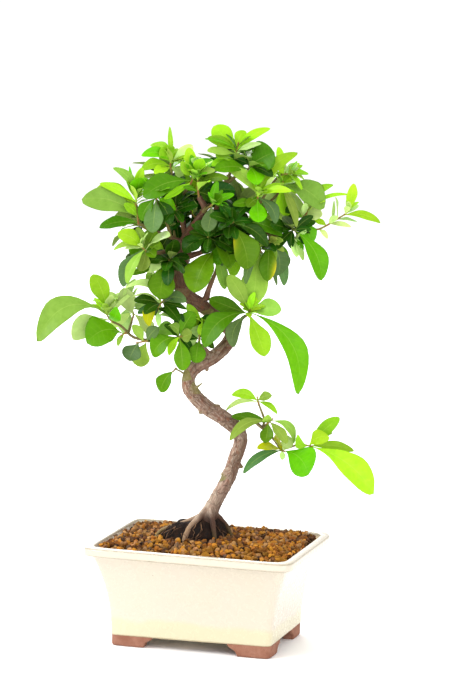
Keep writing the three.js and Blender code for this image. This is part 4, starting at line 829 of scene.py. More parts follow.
        (-26, 17, 328, 11.5, 0, "green", 0.8), (-9, 10, 292, 13, 2, "dark", 0.93),
    ]),
    "core_lower": ("spur_core_lower", "dark", 0, [(-16, 4, 301), (-18, 5, 305)], [
        (-20, 9, 318, 12.5, 2, "lime", 0.28), (-32, 9, 312, 11, 0, "dark", 0.44),
        (-9, 0, 283, 13.5, 1, "dark", 0.6), (-31, 1, 289, 12, 1, "dark", 0.76),
        (-15, 11, 324, 11.5, 2, "lime", 0.92),
    ]),
    "core_left": ("spur_core_left", "green", 0, [(-28, 5, 292), (-27, 6, 296)], [
        (-38, 0, 272, 11.5, 0, "dark", 0.3), (-41, 1, 306, 12.5, 2, "pale", 0.5),
        (-47, 1, 289, 11, 1, "dark", 0.7), (-24, 2, 274, 13.5, 1, "dark", 0.9),
    ]),
    "core_right": ("spur_core_right", "dark", 0, [(9, -12, 285)], [
        (-8, -17, 275, 12.5, 2, "dark", 0.28), (22, -7, 302, 11, 0, "dark", 0.44),
        (2, -17, 267, 13.5, 0, "green", 0.6), (-1, -8, 304, 12, 1, "dark", 0.76),
        (19, -18, 268, 11.5, 2, "grey", 0.92),
    ]),
    "right_inner": ("spur_right_inner", "lime", 0, [(43, 9, 307), (45, 10, 310)], [
        (48, 16, 325, 11, 1, "pale", 0.27), (61, 5, 299, 11, 2, "olive", 0.4),
        (26, 17, 319, 12, 2, "pale", 0.53), (23, 17, 304, 11.5, 1, "bright", 0.67),
        (58, 18, 324, 13, 1, "lime", 0.8), (51, 18, 329, 13.5, 1, "pale", 0.93),
    ]),
    "left_under": ("spur_left_under", "green", 0, [(-41, 0, 265), (-43, 2, 260)], [
        (-58, -5, 276, 12.5, 2, "green", 0.27), (-59, -4, 275, 11, 1, "green", 0.4),
        (-27, 8, 250, 13.5, 1, "dark", 0.53), (-44, 9, 253, 7, 1, "pale", 0.67),
        (-61, -3, 270, 11.5, 1, "grey", 0.8), (-40, 10, 281, 13, 0, "lime", 0.93),
    ]),
    "left_light": ("spur_left_light", "pale", 0, [(-55, 5, 229), (-57, 6, 234), (-60, 7, 238)], [
        (-62, 0, 248, 12.5, 0, "pale", 0.25), (-42, 1, 214, 11, 2, "pale", 0.35),
        (-72, 2, 219, 8.5, 0, "pale", 0.45), (-35, 14, 232, 12, 1, "pale", 0.55),
        (-36, 14, 237, 7, 1, "pale", 0.65), (-60, 2, 214, 13, 2, "pale", 0.75),
        (-79, 3, 235, 13.5, 2, "pale", 0.85), (-54, 3, 254, 6, 2, "pale", 0.95),
    ]),
}

wood = {
    "voxel": 0.56, "softening": 4, "spacing": 0.7, "sides": 20, "twigSides": 8, "thinnest": 1.25,
    "fullBark": 4.5,  # the radius from which the bark is as rough as it gets
    # how far each marking lifts the bark, and how fast it changes: across, back and along the limb
    "ridges": 0.34, "ridgeScale": (0.5, 0.5, 0.09), "knots": 0.306, "knotScale": (0.22, 0.22, 0.16),
    "plates": 0.3, "plateScale": (0.34, 0.34, 0.2), "crackWidth": 0.16,
    "rings": 0.64, "ringScale": (0.06, 0.06, 0.55), "ringFrom": 0.12, "grit": 0.09, "gritScale": 1.3,
}


def limbLine(path):  # evenly spaced [right, back, up, radius] along a limb
    path = np.asarray(path, float)
    length = np.linalg.norm(np.diff(path[:, :3], axis=0), axis=1).sum()
    shares = np.linspace(0, 1, max(6, int(length / wood["spacing"])))
    line = alongPath(path, shares)
    line[:, 3] = np.interp(shares * (len(path) - 1), range(len(path)), path[:, 3])
    return line


def woodPlaces(lines, points):  # for each point: its place round and along its limb, and the limb's radius
    tree = kdtree.KDTree(sum(len(line) for line in lines))
    rows = []
    for number, line in enumerate(lines):
        _, sideways = tubeRings(line[:, :3], line[:, 3], 4)
        steps = np.linalg.norm(np.diff(line[:, :3], axis=0), axis=1)
        walked = np.concatenate([[0], np.cumsum(steps)]) + 61.0 * number  # each limb has bark of its own
        for row, (across, other), far in zip(line, sideways, walked):
            tree.insert(row[:3], len(rows))
            rows.append((row[:3], across, other, far, row[3]))
    tree.balance()
    places, radii = np.empty((len(points), 3)), np.empty(len(points))
    for index, point in enumerate(points):
        centre, across, other, far, radius = rows[tree.find(point)[1]]
        out = point - centre
        places[index] = (np.dot(out, across), np.dot(out, other), far + np.dot(out, np.cross(across, other)))
        radii[index] = radius
    return places, radii


def barkLift(point, place, radius):
    size = min(radius / wood["fullBark"], 1)
    ridge = noise.noise(Vector(place * wood["ridgeScale"]))
    knotty = noise.noise(Vector(place * wood["knotScale"] + (0, 0, 40)))
    near, second = noise.voronoi(Vector(place * wood["plateScale"]))[0][:2]
    crack = max(0, 1 - (second - near) / wood["crackWidth"])
    ring = max(0, noise.noise(Vector(place * wood["ringScale"])) - wood["ringFrom"])
    broad = wood["ridges"] * ridge + wood["knots"] * knotty - wood["plates"] * crack + wood["rings"] * ring
    grit = wood["grit"] * noise.noise(Vector(point * wood["gritScale"]))
    return size * broad + grit * min(size + 0.2, 1)


def makeTrunk():
    lines = [limbLine(path) for path in (trunkPath, *rootPaths.values(), *limbPaths.values())]
    thick = [line for line in lines if line[:, 3].max() > wood["thinnest"]]
    thin = [line for line in lines if line[:, 3].max() <= wood["thinnest"]]
    points, faces = gatherTubes(thick, wood["sides"])
    core = addPiece("core", treePoints(points), faces)
    remesh(core, wood["voxel"], wood["softening"])
    points, normals = meshPoints(core.data) @ treeTurn, meshNormals(core.data) @ treeTurn
    faces = [tuple(face.vertices) for face in core.data.polygons]
    bpy.data.objects.remove(core)
    places, radii = woodPlaces(lines, points)
    lifts = np.array([barkLift(*row) for row in zip(points, places, radii)])
    twigPoints, twigFaces = gatherTubes(thin, wood["twigSides"])
    twigPlaces, twigRadii = woodPlaces(lines, twigPoints)
    faces += movedOn(twigFaces, len(points))
    points = np.vstack([points + normals * lifts[:, None], twigPoints])
    trunk = addPiece("trunkWood", treePoints(points), faces)
    setValues(trunk, "barkPlace", "FLOAT_VECTOR", np.vstack([places, twigPlaces]))
    setValues(trunk, "limbSize", "FLOAT", np.concatenate([radii, twigRadii]))
    return trunk


barkLook = {
    "grey": paint(164, 144, 128), "pink": paint(156, 120, 104),
    # laid over these, each with its strength
    "mossy": (paint(126, 114, 84), 0.3), "streaked": (paint(84, 58, 46), 0.7),
    "flaked": (paint(196, 178, 160), 0.65), "crown": (paint(86, 52, 28), 0.8),
    "rusty": (paint(132, 72, 48), 0.5), "paleLow": (paint(196, 178, 160), 0.4),
    "earthy": (paint(142, 112, 78), 0.75), "darkFoot": (paint(44, 26, 22), 0.93),
    "shaded": (paint(84, 58, 46), 0.62), "young": (paint(112, 110, 56), 0.75),
    "cracked": (paint(62, 44, 36), 0.55), "pitted": (paint(62, 44, 36), 0.45),
    "crownEnds": (190.0, 262.0), "paleLowEnds": (124.0, 100.0), "earthyEnds": (92.0, 80.0),
    "darkFootEnds": (95.0, 87.0), "darkFootSideEnds": (-16.0, -11.0), "shadedEnds": (-0.5, 0.8),
    "roughness": (0.2, 0.64), "bump": (0.8, 0.25),
}


def makeBark():
    material, tree, shader = startMaterial("firethornBark")
    place, size, world = stored(tree, "barkPlace"), stored(tree, "limbSize", "Fac"), inMillimetres(tree)
    right, back, up = (addPart(tree, world, axis) for axis in "XYZ")
    long = stretched(tree, place, (1.0, 1.0, 0.11))
    broad, streak = patchesOf(tree, place, 9.0, 0.9), patchesOf(tree, long, 1.7, 0.9)
    rings = patchesOf(tree, stretched(tree, place, (0.5, 0.5, 0.16)), 0.9, 1.0)
    grain = grainOf(tree, long, 0.5, 0.4)
    inputs = {"Vector": stretched(tree, place, (1.0, 1.0, 0.3)), "Scale": 0.34}
    edges = addNode(tree, "TexVoronoi", inputs, feature="DISTANCE_TO_EDGE").outputs["Distance"]
    crack = spread(tree, edges, 0.07, 0.0)
    rightSide = spread(tree, timesPlus(tree, back, 0.5, right), *barkLook["darkFootSideEnds"])
    facing = addPart(tree, addNode(tree, "TexCoord").outputs["Normal"], "X")
    colour = layColours(tree, mixColours(tree, broad, barkLook["grey"], barkLook["pink"]), barkLook, {
        "mossy": patchesOf(tree, world, 17.0, 1.0),
        "streaked": spread(tree, streak, 0.4, 1.0),
        "flaked": spread(tree, rings, 0.5, 0.9),
        # high up the bark turns darker and redder: partly the younger bark's own colour, partly painted shade
        # under the leaves
        "crown": spread(tree, timesPlus(tree, broad, 24.0, up), *barkLook["crownEnds"]),
        "rusty": spread(tree, patchesOf(tree, place, 4.0, 1.0), 0.8, 1.0),
        # the bark is paler low on the trunk, fully so below 100 mm
        "paleLow": spread(tree, up, *barkLook["paleLowEnds"]),
        "earthy": spread(tree, up, *barkLook["earthyEnds"]),
        # the bark is very dark at the foot of the trunk, below about 90 mm, except on its far left
        "darkFoot": times(tree, spread(tree, up, *barkLook["darkFootEnds"]), rightSide),
        "shaded": spread(tree, facing, *barkLook["shadedEnds"]),
        "young": spread(tree, size, 1.9, 0.8),
        "cracked": times(tree, crack, spread(tree, size, 1.4, 3.5)),
        "pitted": grain["Pore"],
    })
    roughness = timesPlus(tree, streak, *barkLook["roughness"])
    feedAll(tree, shader, {"Base Color": colour, "Roughness": roughness})
    height = timesPlus(tree, crack, -0.6, timesPlus(tree, streak, -0.5, grain["Height"]))
    addBump(tree, shader, height, *barkLook["bump"])
    return material


trunkWood = makeTrunk()
trunkWood.data.materials.append(makeBark())
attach(trunkWood, "root")
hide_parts("trunk")
print("trunk and limbs:", len(trunkWood.data.polygons), "faces")

rootBall = {
    "middle": (-10, 1), "halfLength": 27, "halfWidth": 19, "bottom": 44, "top": 84,
    "levels": 34, "sides": 96,
    "hump": 6, "humpPlace": (6, 0), "humpReach": 200,  # it rises under the right roots
    "lumps": 1.3, "crumbs": 1.5, "sunk": -0.9,
}


def ballPoint(angle, rise, out=0.0):
    share = math.sqrt(1 - (0.93 * rise) ** 2.6)
    lump = 1 + 0.06 * math.sin(5 * angle + 10 * rise)
    right, back = rootBall["middle"]
    across, along = rootBall["halfLength"] * share, rootBall["halfWidth"] * share
    away = math.hypot(right + across * math.cos(angle) - rootBall["humpPlace"][0],
                      back + along * math.sin(angle) - rootBall["humpPlace"][1])
    hump = rootBall["hump"] * rise * math.exp(-away**2 / rootBall["humpReach"])
    return np.array([
        right + (across * lump + out) * math.cos(angle),
        back + (along * lump + out) * math.sin(angle),
        rootBall["bottom"] + (rootBall["top"] - rootBall["bottom"]) * rise**0.7 + 0.4 * out + hump,
    ])


def makeRootBall():
    angles = np.linspace(0, 2 * math.pi, rootBall["sides"], endpoint=False)
    rises = np.linspace(0, 1, rootBall["levels"])
    points = np.array([ballPoint(angle, rise) for rise in rises for angle in angles])
    out = unit(points - (*rootBall["middle"], 60))
    for index, point in enumerate(points):
        coarse = noise.noise(Vector(point * 0.21))
        crumbs = abs(noise.noise(Vector(point * 0.7))) + 0.5 * abs(noise.noise(Vector(point * 1.6)))
        points[index] += out[index] * (
            rootBall["lumps"] * coarse + rootBall["crumbs"] * crumbs + rootBall["sunk"])
    return addPiece("rootBallPeat", treePoints(points), ringFaces(len(rises), len(angles)))


fibres = {
    "count": 26, "top": (0.74, 0.98), "low": (0.5, 0.66), "drift": (-0.5, 0.5), "wander": (-0.05, 0.05),
    "bow": (-0.5, 1.3), "off": 0.7, "radii": (0.12, 0.15, 0.2, 0.34), "taper": (1.1, 0.5),
    "knots": 7, "steps": 16,
}


def makeFibres():  # fine feeder roots that hang over the peat
    draw = random.Random(5)
    lines = []
    for number in range(fibres["count"]):
        angle = draw.uniform(-math.pi, math.pi)
        top, low = draw.uniform(*fibres["top"]), draw.uniform(*fibres["low"])
        drift, radius = draw.uniform(*fibres["drift"]), draw.choice(fibres["radii"])
        knots = []
        for share in np.linspace(0, 1, fibres["knots"]):
            out = fibres["off"] + draw.uniform(*fibres["bow"]) * math.sin(math.pi * share)
            turned = angle + drift * share + draw.uniform(*fibres["wander"])
            knots.append([*ballPoint(turned, top + (low - top) * share, out), radius])
        line = alongPath(knots, np.linspace(0, 1, fibres["steps"]))
        line[:, 3] = radius * np.linspace(*fibres["taper"], fibres["steps"])
        lines.append(line)
    points, faces = gatherTubes(lines, 5)
    return addPiece("rootFibres", treePoints(points), faces)


peatLook = {
    "colour": paint(16, 10, 8), "patch": paint(42, 27, 19), "pit": paint(16, 10, 8),
    "patches": (3.6, 1.0), "grain": (0.7, 0.8), "roughness": (0.25, 0.7), "bump": (1.0, 0.5),
}
fibreLook = {
    "colour": paint(118, 88, 64), "patch": paint(44, 28, 20),
    "patches": (5.0, 1.0), "grain": (0.3, 0.3), "roughness": (0.0, 0.7), "bump": (0.4, 0.05),
}
peatLump = makeRootBall()
peatLump.data.materials.append(makeSkin("blackPeat", peatLook))
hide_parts("root_ball")
rootFibres = makeFibres()
rootFibres.data.materials.append(makeSkin("rootFibre", fibreLook))
for piece in (peatLump, rootFibres):
    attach(piece, "root")
print("root ball:", len(peatLump.data.polygons), "faces, fibres:", len(rootFibres.data.polygons))

soil = {
    "halfLength": 67.8, "halfWidth": 50.8, "squareness": 14, "edgeHeight": 67.5, "mound": 3.8, "tilt": 0.016,
    "bottom": 15.6, "gap": 0.3, "bedSides": 160, "bedSunk": -0.8, "bedRough": 0.8,
    "count": 1700, "tries": 20000, "radii": (1.5, 3.8), "smallOnes": 1.3, "pile": 5.0, "overlap": 0.84,
    "wallOverlap": 0.1, "woodOverlap": 0.2,  # how far a granule may sink in, as shares of its radius
}


def bedHeight(across, back):
    share = (abs(across / soil["halfLength"]) ** 5 + abs(back / soil["halfWidth"]) ** 5) ** 0.2
    return soil["edgeHeight"] + soil["mound"] * (1 - min(share, 1.1) ** 2) + soil["tilt"] * across


def makeSoilBed():
    count = soil["bedSides"]
    rings = []
    for share in (0.04, 0.3, 0.6, 0.95):
        height = soil["bottom"] + share * (pot["lipBottom"] - soil["bottom"])
        rings.append(potRing(wallInset(height) + pot["wallThickness"] + soil["gap"], height, count))
    for share in np.linspace(1, 0.04, 30):
        ring = potRing(pot["halfLength"] - soil["halfLength"], 70, count) * [share, share, 1]
        for point in ring:
            rough = noise.noise(Vector((point[0] / 2, point[1] / 2, 3)))
            point[2] = bedHeight(*point[:2]) + soil["bedSunk"] + soil["bedRough"] * rough
        rings.append(ring)
    return addPiece("soilBed", np.vstack(rings), ringFaces(len(rings), count))


def layGranules():
    draw = np.random.default_rng(17)
    woodSkin, ballSkin = skinOf(trunkWood), skinOf(peatLump)
    small, large = soil["radii"]
    laid = np.zeros((soil["count"], 4))
    count = 0
    for attempt in range(soil["tries"]):
        if count == soil["count"]:
            break
        radius = small + (large - small) * draw.random() ** soil["smallOnes"]
        across = (soil["halfLength"] - 0.92 * radius) * (2 * draw.random() - 1)
        back = (soil["halfWidth"] - 0.92 * radius) * (2 * draw.random() - 1)
        inside = (1 - soil["wallOverlap"]) * radius
        longways, crossways = soil["halfLength"] - inside, soil["halfWidth"] - inside
        if abs(across / longways) ** soil["squareness"] + abs(back / crossways) ** soil["squareness"] > 1:
            continue
        bed = bedHeight(across, back)
        height = bed + 0.15 * radius
        near = laid[:count]
        apart = (near[:, 0] - across) ** 2 + (near[:, 1] - back) ** 2
        touch = soil["overlap"] * (near[:, 3] + radius)
        over = apart < touch**2
        if over.any():
            height = max(height, (near[over, 2] + np.sqrt(touch[over] ** 2 - apart[over])).max())
        if height + radius > bed + soil["pile"] + 0.8 * draw.random() ** 6:
            continue
        if woodSkin.find_nearest(Vector((across, back, height)))[3] < (1 - soil["woodOverlap"]) * radius:
            continue
        down = ballSkin.ray_cast(Vector((across, back, 120)), Vector((0, 0, -1)))[0]
        if down and down.z > height - 0.2 * radius:
            continue
        laid[count] = (across, back, height, radius)
        count += 1
    return laid[:count]


granuleLook = {
    "paints": [paint(164, 110, 32), paint(138, 84, 28), paint(160, 118, 72), paint(98, 62, 38),
               paint(54, 32, 24), paint(104, 80, 62)],
    # how often each of these is taken in the sun and in the shade
    "sunny": (0.42, 0.28, 0.16, 0.09, 0.03, 0.02), "shady": (0.12, 0.22, 0.28, 0.24, 0.05, 0.09),
    "light": (0.4, 1.36), "green": (0.92, 1.06), "blue": (0.85, 1.1),
    "sides": (0.62, 1.34), "chips": 10, "chipDepth": (0.42, 0.78), "dents": 0.09, "swell": 1.22,
    "dusty": (paint(190, 142, 82), 0.25), "pitted": (paint(60, 32, 12), 0.8),
    "patches": (1.6, 0.9), "grain": (0.45, 0.7), "roughness": (0.15, 0.8), "bump": (0.7, 0.25),
}


def unitBall():
    shape = bmesh.new()
    bmesh.ops.create_icosphere(shape, subdivisions=2, radius=1)
    shape.verts.index_update()
    corners = np.array([vertex.co for vertex in shape.verts])
    triangles = np.array([[vertex.index for vertex in face.verts] for face in shape.faces])
    shape.free()
    return corners, triangles


def makeGranules(laid):  # broken lumps with flat chips, ambers in front and at the right, browns behind
    draw = np.random.default_rng(23)
    corners, triangles = unitBall()
    points, faces, colours = [], [], []
    paints, sunny, shady = (np.array(granuleLook[key]) for key in ("paints", "sunny", "shady"))
    for number, (across, back, height, radius) in enumerate(laid):
        lump = corners * draw.uniform(*granuleLook["sides"], 3)
        for chip in range(granuleLook["chips"]):
            facing = unit(draw.normal(size=3))
            beyond = lump @ facing - draw.uniform(*granuleLook["chipDepth"])
            lump = lump - np.outer(np.maximum(beyond, 0), facing)
        lump *= 1 + granuleLook["dents"] * draw.normal(size=(len(corners), 1)).clip(-1.5, 1.5)
        points.append(lump * radius * granuleLook["swell"] + (across, back, height))
        faces += (triangles + number * len(corners)).tolist()
        sun = np.clip(0.45 - back / 90 + across / 130, 0, 1)
        shares = sun * sunny + (1 - sun) * shady
        colour = paints[draw.choice(len(paints), p=shares / shares.sum())]
        light, green, blue = (draw.uniform(*granuleLook[key]) for key in ("light", "green", "blue"))
        colour = colour * light * [1, green, blue, 1]
        colours.append(np.tile(np.clip(colour, 0, 1), (len(corners), 1)))
    piece = addPiece("clayGranules", np.vstack(points), faces, smooth=False)
    setValues(piece, "granulePaint", "FLOAT_COLOR", np.vstack(colours))
    return piece


def makeBakedClay(name, painted):
    material, tree, target, patches, pore = startSkin(name, granuleLook)
    colour = stored(tree, "granulePaint", "Color") if painted else granuleLook["paints"][4]
    masks = {"dusty": spread(tree, patches, 0.5, 1.0), "pitted": pore}
    feed(tree, target, layColours(tree, colour, granuleLook, masks))
    return material


# the bed under the granules is near black: painted shade in the gaps between them
soilBed = makeSoilBed()
soilBed.data.materials.append(makeBakedClay("soilShade", False))
clayGranules = makeGranules(layGranules())
clayGranules.data.materials.append(makeBakedClay("bakedClay", True))
for piece in (soilBed, clayGranules):
    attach(piece, "root")
    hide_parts("soil")
print("granules:", len(clayGranules.data.polygons), "faces")

leafLook = {
    "tones": {
        "lime": (142, 192, 30), "bright": (92, 164, 0), "green": (76, 122, 8), "grey": (86, 116, 64),
        "dark": (32, 74, 4), "pale": (190, 222, 132), "olive": (128, 162, 60), "yellow": (150, 156, 8),
    },
    "lighter": (0.86, 1.12), "redder": (-8, 8), "greener": (-6, 6), "yellowEdge": (214, 190, 40),
    "yellowed": {"right_hanging_a": (1, 0.75, 0.95), "centre_right": (-1, 0.3, 0.8)},  # side, where, how much
    "narrow": 5, "broad": 15, "fullness": (1.12, 1.62),  # how far towards the tip a leaf is widest
    "thickness": 0.34, "stalk": 0.42, "fold": 0.26, "wave": 0.05, "steps": 15, "sides": 8,
    "twist": (-0.25, 0.25), "cup": (0.6, 1.25), "goldenAngle": math.radians(137.5),
}
fillOnes = {"length": (19, 29), "shape": 0.42, "bow": 0.09, "turns": [0, 0.5, -0.5, 1, -1, 1.6, -1.6, 2.4]}
tipShifts = [0, -3, 3, -6, 6, -10, 10, -14, 14, -18, 18]  # how a tip may be bent back or forward
youngOnes = {  # the last small leaves round a growing tip, in the crown only
    "counts": {"lime": 11, "pale": 7, "bright": 9, "olive": 6}, "others": 4, "lowest": 222, "tone": None,
    "length": (8, 17), "shape": 0.36, "bow": 0.06, "stemFrom": 0.8, "spin": 0.8, "lean": (0, 0.3, 1),
    "flatten": (1, 1, 1), "ahead": (0.3, 1.1), "lift": (0, -0.2, 0.25), "roots": (0.6, 1),
    "faceAhead": 0.7, "faceAside": 0, "face": (-0.4, 0.5),
}
innerOnes = {  # the leaves that fill a spray from within, all in the dark tone: partly their own darker older green, partly painted shade inside the crown
    "counts": {"dark": 8, "green": 4}, "others": 0, "lowest": 0, "tone": "dark",
    "length": (12, 21), "shape": 0.44, "bow": 0.08, "stemFrom": 0, "spin": 1, "lean": (0.2, 0.3, 1),
    "flatten": (1, 1, 0.7), "ahead": (-0.4, 0.7), "lift": (0, 0, 0), "roots": (0.05, 0.9),
    "faceAhead": 0, "faceAside": 0.2, "face": (-0.7, 0.6),
}


def steadyDraws(state):
    while True:
        state = (state * 1664525 + 1013904223) % 4294967296
        yield state / 4294967296


def aroundStem(ahead, lean, angle):
    side = unit(np.cross(lean, ahead))
    return side * math.cos(angle) + np.cross(ahead, side) * math.sin(angle)


def shownLeaf(root, row, shift):
    right, back, up, width, bow, tone = row[:6]
    reach = np.array([right, back + shift, up]) - root
    face = (0.25 * np.sign(reach[0]), -0.85, 0.5)
    return {"root": root, "reach": reach, "width": width, "bow": bow, "face": face, "tone": tone}


def grownLeaf(root, reach, rule, face, tone):
    length = np.linalg.norm(reach)
    return {"root": root, "reach": reach, "width": rule["shape"] * length, "bow": rule["bow"] * length,
            "face": face, "tone": tone}


def fillLeaf(curve, index, place, draws, turn, tone):
    ahead = unit(curve(1) - curve(0))
    sideways = aroundStem(ahead, (0, 0, 1), index * leafLook["goldenAngle"] + 0.5 * draws[0] + turn)
    shortest, longest = fillOnes["length"]
    reach = unit(sideways + ahead * (0.15 + 0.75 * place + 0.3 * draws[2]))
    reach *= shortest + (longest - shortest) * draws[1]
    return grownLeaf(curve(0.2 + 0.8 * place), reach, fillOnes, ahead * 0.8 + (0, 0, 0.6), tone)


def extraLeaves(curve, rule, tone, draw):
    if curve(1)[2] < rule["lowest"]:
        return []
    ahead = unit(curve(1) - curve(rule["stemFrom"]))
    leaves = []
    for index in range(rule["counts"].get(tone, rule["others"])):
        angle = index * leafLook["goldenAngle"] + draw.uniform(0, rule["spin"])
        sideways = aroundStem(ahead, rule["lean"], angle)
        length = draw.uniform(*rule["length"])
        reach = sideways * rule["flatten"] + ahead * draw.uniform(*rule["ahead"]) + rule["lift"]
        face = ahead * rule["faceAhead"] + (rule["faceAside"] * np.sign(reach[0]), *rule["face"])
        root = curve(draw.uniform(*rule["roots"]))
        leaves.append(grownLeaf(root, unit(reach) * length, rule, face, rule["tone"] or tone))
    return leaves


def bladeOutline(width, full):  # how far along each ring stands, and its half width
    steps, stalk = leafLook["steps"], leafLook["stalk"]
    even = np.linspace(0, 1, steps + 1)
    shares = 0.55 * (1 - np.cos(math.pi * even)) / 2 + 0.45 * even
    full += np.interp(width, (leafLook["narrow"], leafLook["broad"]), leafLook["fullness"])
    outline = np.sin(math.pi * shares**full).clip(0, 1) ** (1.05 - 0.5 * shares)
    return shares, np.maximum(stalk * (1 - shares), width / 2 * outline)


# the corners of one ring of a blade: where from edge to edge, and on the top, an edge or the underside
spots = np.cos(np.linspace(0, math.pi, leafLook["sides"] + 1))
spots = np.concatenate([spots, spots[-2:0:-1]])
upOrDown = np.concatenate([np.ones(leafLook["sides"] + 1), -np.ones(leafLook["sides"] - 1)])
upOrDown[[0, leafLook["sides"]]] = 0
bladeFaces = ringFaces(leafLook["steps"], len(spots), tip=True)


def bladeSkin(leaf, draw):  # rings of corners along a thin folded blade, and what the material reads
    root, reach, width = leaf["root"], leaf["reach"], leaf["width"]
    along = unit(reach)
    rise = unit(np.array([0, 0, 1]) - along * along[2])
    across = unit(np.cross(leaf["face"], along))
    up = np.cross(along, across)
    shares, wide = bladeOutline(width, draw.uniform(-0.12, 0.08))
    core = leafLook["thickness"] / 2
    thick = core + (leafLook["stalk"] - core) * np.exp(-14 * shares)
    phase, waves = draw.uniform(0, 6), draw.uniform(1.5, 2.6)
    twist, cup = draw.uniform(*leafLook["twist"]), draw.uniform(*leafLook["cup"])
    rings = []
    for share, reachHalf, body in zip(shares[:-1], wide, thick):
        centre = root + reach * share + rise * (4 * leaf["bow"] * share * (1 - share))
        turn = twist * share
        flat = across * math.cos(turn) + up * math.sin(turn)
        lifted = up * math.cos(turn) - across * math.sin(turn)
        fold = leafLook["fold"] * cup * reachHalf * (np.sqrt(spots**2 + 0.02) - 0.14)
        ripple = leafLook["wave"] * width * np.abs(spots) ** 3 * math.sin(2 * math.pi * waves * share + phase)
        crown = body * upOrDown * np.sqrt(np.maximum(0, 1 - spots**2)) ** 0.7
        height = fold + ripple * math.sin(math.pi * share) + crown
        rings.append(centre + np.outer(reachHalf * spots, flat) + np.outer(height, lifted))
    points = np.vstack(rings + [[root + reach]])
    steps = leafLook["steps"]
    place = np.column_stack([
        np.append(np.tile(spots, steps), 0), np.append(np.repeat(shares[:-1], len(spots)), 1),
        np.append(np.tile(upOrDown, steps), 0), np.append(np.repeat(wide[:-1], len(spots)), 0),
    ])
    return points, place, bladeColours(leaf, place, draw)


def bladeColours(leaf, place, draw):
    tone = np.array(leafLook["tones"][leaf["tone"]], float) * draw.uniform(*leafLook["lighter"])
    tone += (draw.uniform(*leafLook["redder"]), draw.uniform(*leafLook["greener"]), 0)
    shade = 1 + 0.1 * (place[:, 1:2] - 0.5) * draw.uniform(-1, 1)
    colours = np.clip(tone * shade, 3, 250)
    if "yellowed" in leaf:
        side, middle, amount = leaf["yellowed"]
        edge = np.clip(side * place[:, 0:1], 0, 1) ** 1.6 * np.exp(-((place[:, 1:2] - middle) / 0.28) ** 2)
        colours = colours + (np.array(leafLook["yellowEdge"]) - colours) * edge * amount
    colours = np.array([paint(*colour)[:3] for colour in colours])
    return np.column_stack([colours, np.full(len(colours), draw.random())])


def placedLeaves(name, fillTone, more, rows, curve, draws):
    corners = meshPoints(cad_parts["spray_" + name].data) @ treeTurn

    def solidThere(tip):
        return np.linalg.norm(corners - tip, axis=1).min() < 0.25

    leaves, small = [], []
    for row in rows:
        if row[3] <= 3:  # too slight for a solid leaf
            small.append(shownLeaf(curve(row[6]), row, 0))
            continue
        shift = next((s for s in tipShifts if solidThere(np.array([row[0], row[1] + s, row[2]]))), 0)
        leaves.append(shownLeaf(curve(row[6]), row, shift))
    if name in leafLook["yellowed"]:
        leaves[0]["yellowed"] = leafLook["yellowed"][name]
    count = more + len(leaves)
    leaves += small
    for index in range(more):
        place = (index + 0.5) / count
        three = [next(draws) for _ in range(3)]
        ways = [fillLeaf(curve, index, place, three, turn, fillTone) for turn in fillOnes["turns"]]
        there = [way for way in ways if solidThere(way["root"] + way["reach"])]
        leaves.append((there or ways)[0])
    return leaves


shoot = {"start": 0.85, "radii": (0.75, 0.5), "bud": (0.62, 0.12), "steps": 26, "sides": 8}


def makeSpray(name, spray, draws, draw):
    limb, tone, more, path, rows = spray
    limb = trunkPath if limb == "trunk" else limbPaths[limb]
    start, first = np.array(limb[-1][:3], float), np.array(path[0], float)
    away = unit(first - start)
    knots = np.vstack([start + 0.35 * away, path])

    def curve(share):
        return alongPath(knots, share)[0]

    line = np.vstack([start - 0.8 * away, alongPath(knots, np.linspace(0, 1, shoot["steps"]))])
    ahead = unit(line[-1] - line[-3])
    line = np.vstack([line, line[-1] + ahead * 1.1, line[-1] + ahead * 2.1])
    radii = [shoot["start"], *np.linspace(*shoot["radii"], shoot["steps"]), *shoot["bud"]]
    points, faces = gatherTubes([np.column_stack([line, radii])], shoot["sides"])
    slots = [1] * len(faces)
    points, places = [points], [np.zeros((len(points), 4))]
    colours = [np.tile(paint(*leafLook["tones"]["olive"]), (len(points[0]), 1))]
    leaves = placedLeaves(name, tone, more, rows, curve, draws)
    leaves += extraLeaves(curve, youngOnes, tone, draw) + extraLeaves(curve, innerOnes, tone, draw)
    for leaf in leaves:
        faces += movedOn(bladeFaces, sum(len(part) for part in points))
        slots += [0] * len(bladeFaces)
        for gathered, part in zip((points, places, colours), bladeSkin(leaf, draw)):
            gathered.append(part)
    piece = addPiece("leaves_" + name, np.clip(treePoints(np.vstack(points)), *leafBox), faces)
    places = np.vstack(places)
    setValues(piece, "leafPlace", "FLOAT_VECTOR", places[:, :3])
    setValues(piece, "leafHalf", "FLOAT", places[:, 3])
    setValues(piece, "leafTone", "FLOAT_COLOR", np.vstack(colours))
    if len(piece.data.polygons) == len(faces):
        piece.data.polygons.foreach_set("material_index", slots)
    piece.data.materials.append(leafSkin)
    piece.data.materials.append(stemSkin)
    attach(piece, "root")
    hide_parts("spray_" + name)


bladeLook = {
    "deep": paint(158, 190, 96), "vein": paint(206, 226, 110), "under": paint(188, 210, 112),
    "deepShare": 0.3, "veinShare": 0.28, "underShare": 0.3, "midrib": 0.4, "veins": 0.07,
    "slant": -1.1, "veinCount": 8.0, "roughness": 0.56, "uneven": 0.1, "gloss": -0.24,
    "coat": 0.06, "coatRoughness": 0.2, "bump": (0.5, 0.25),
}


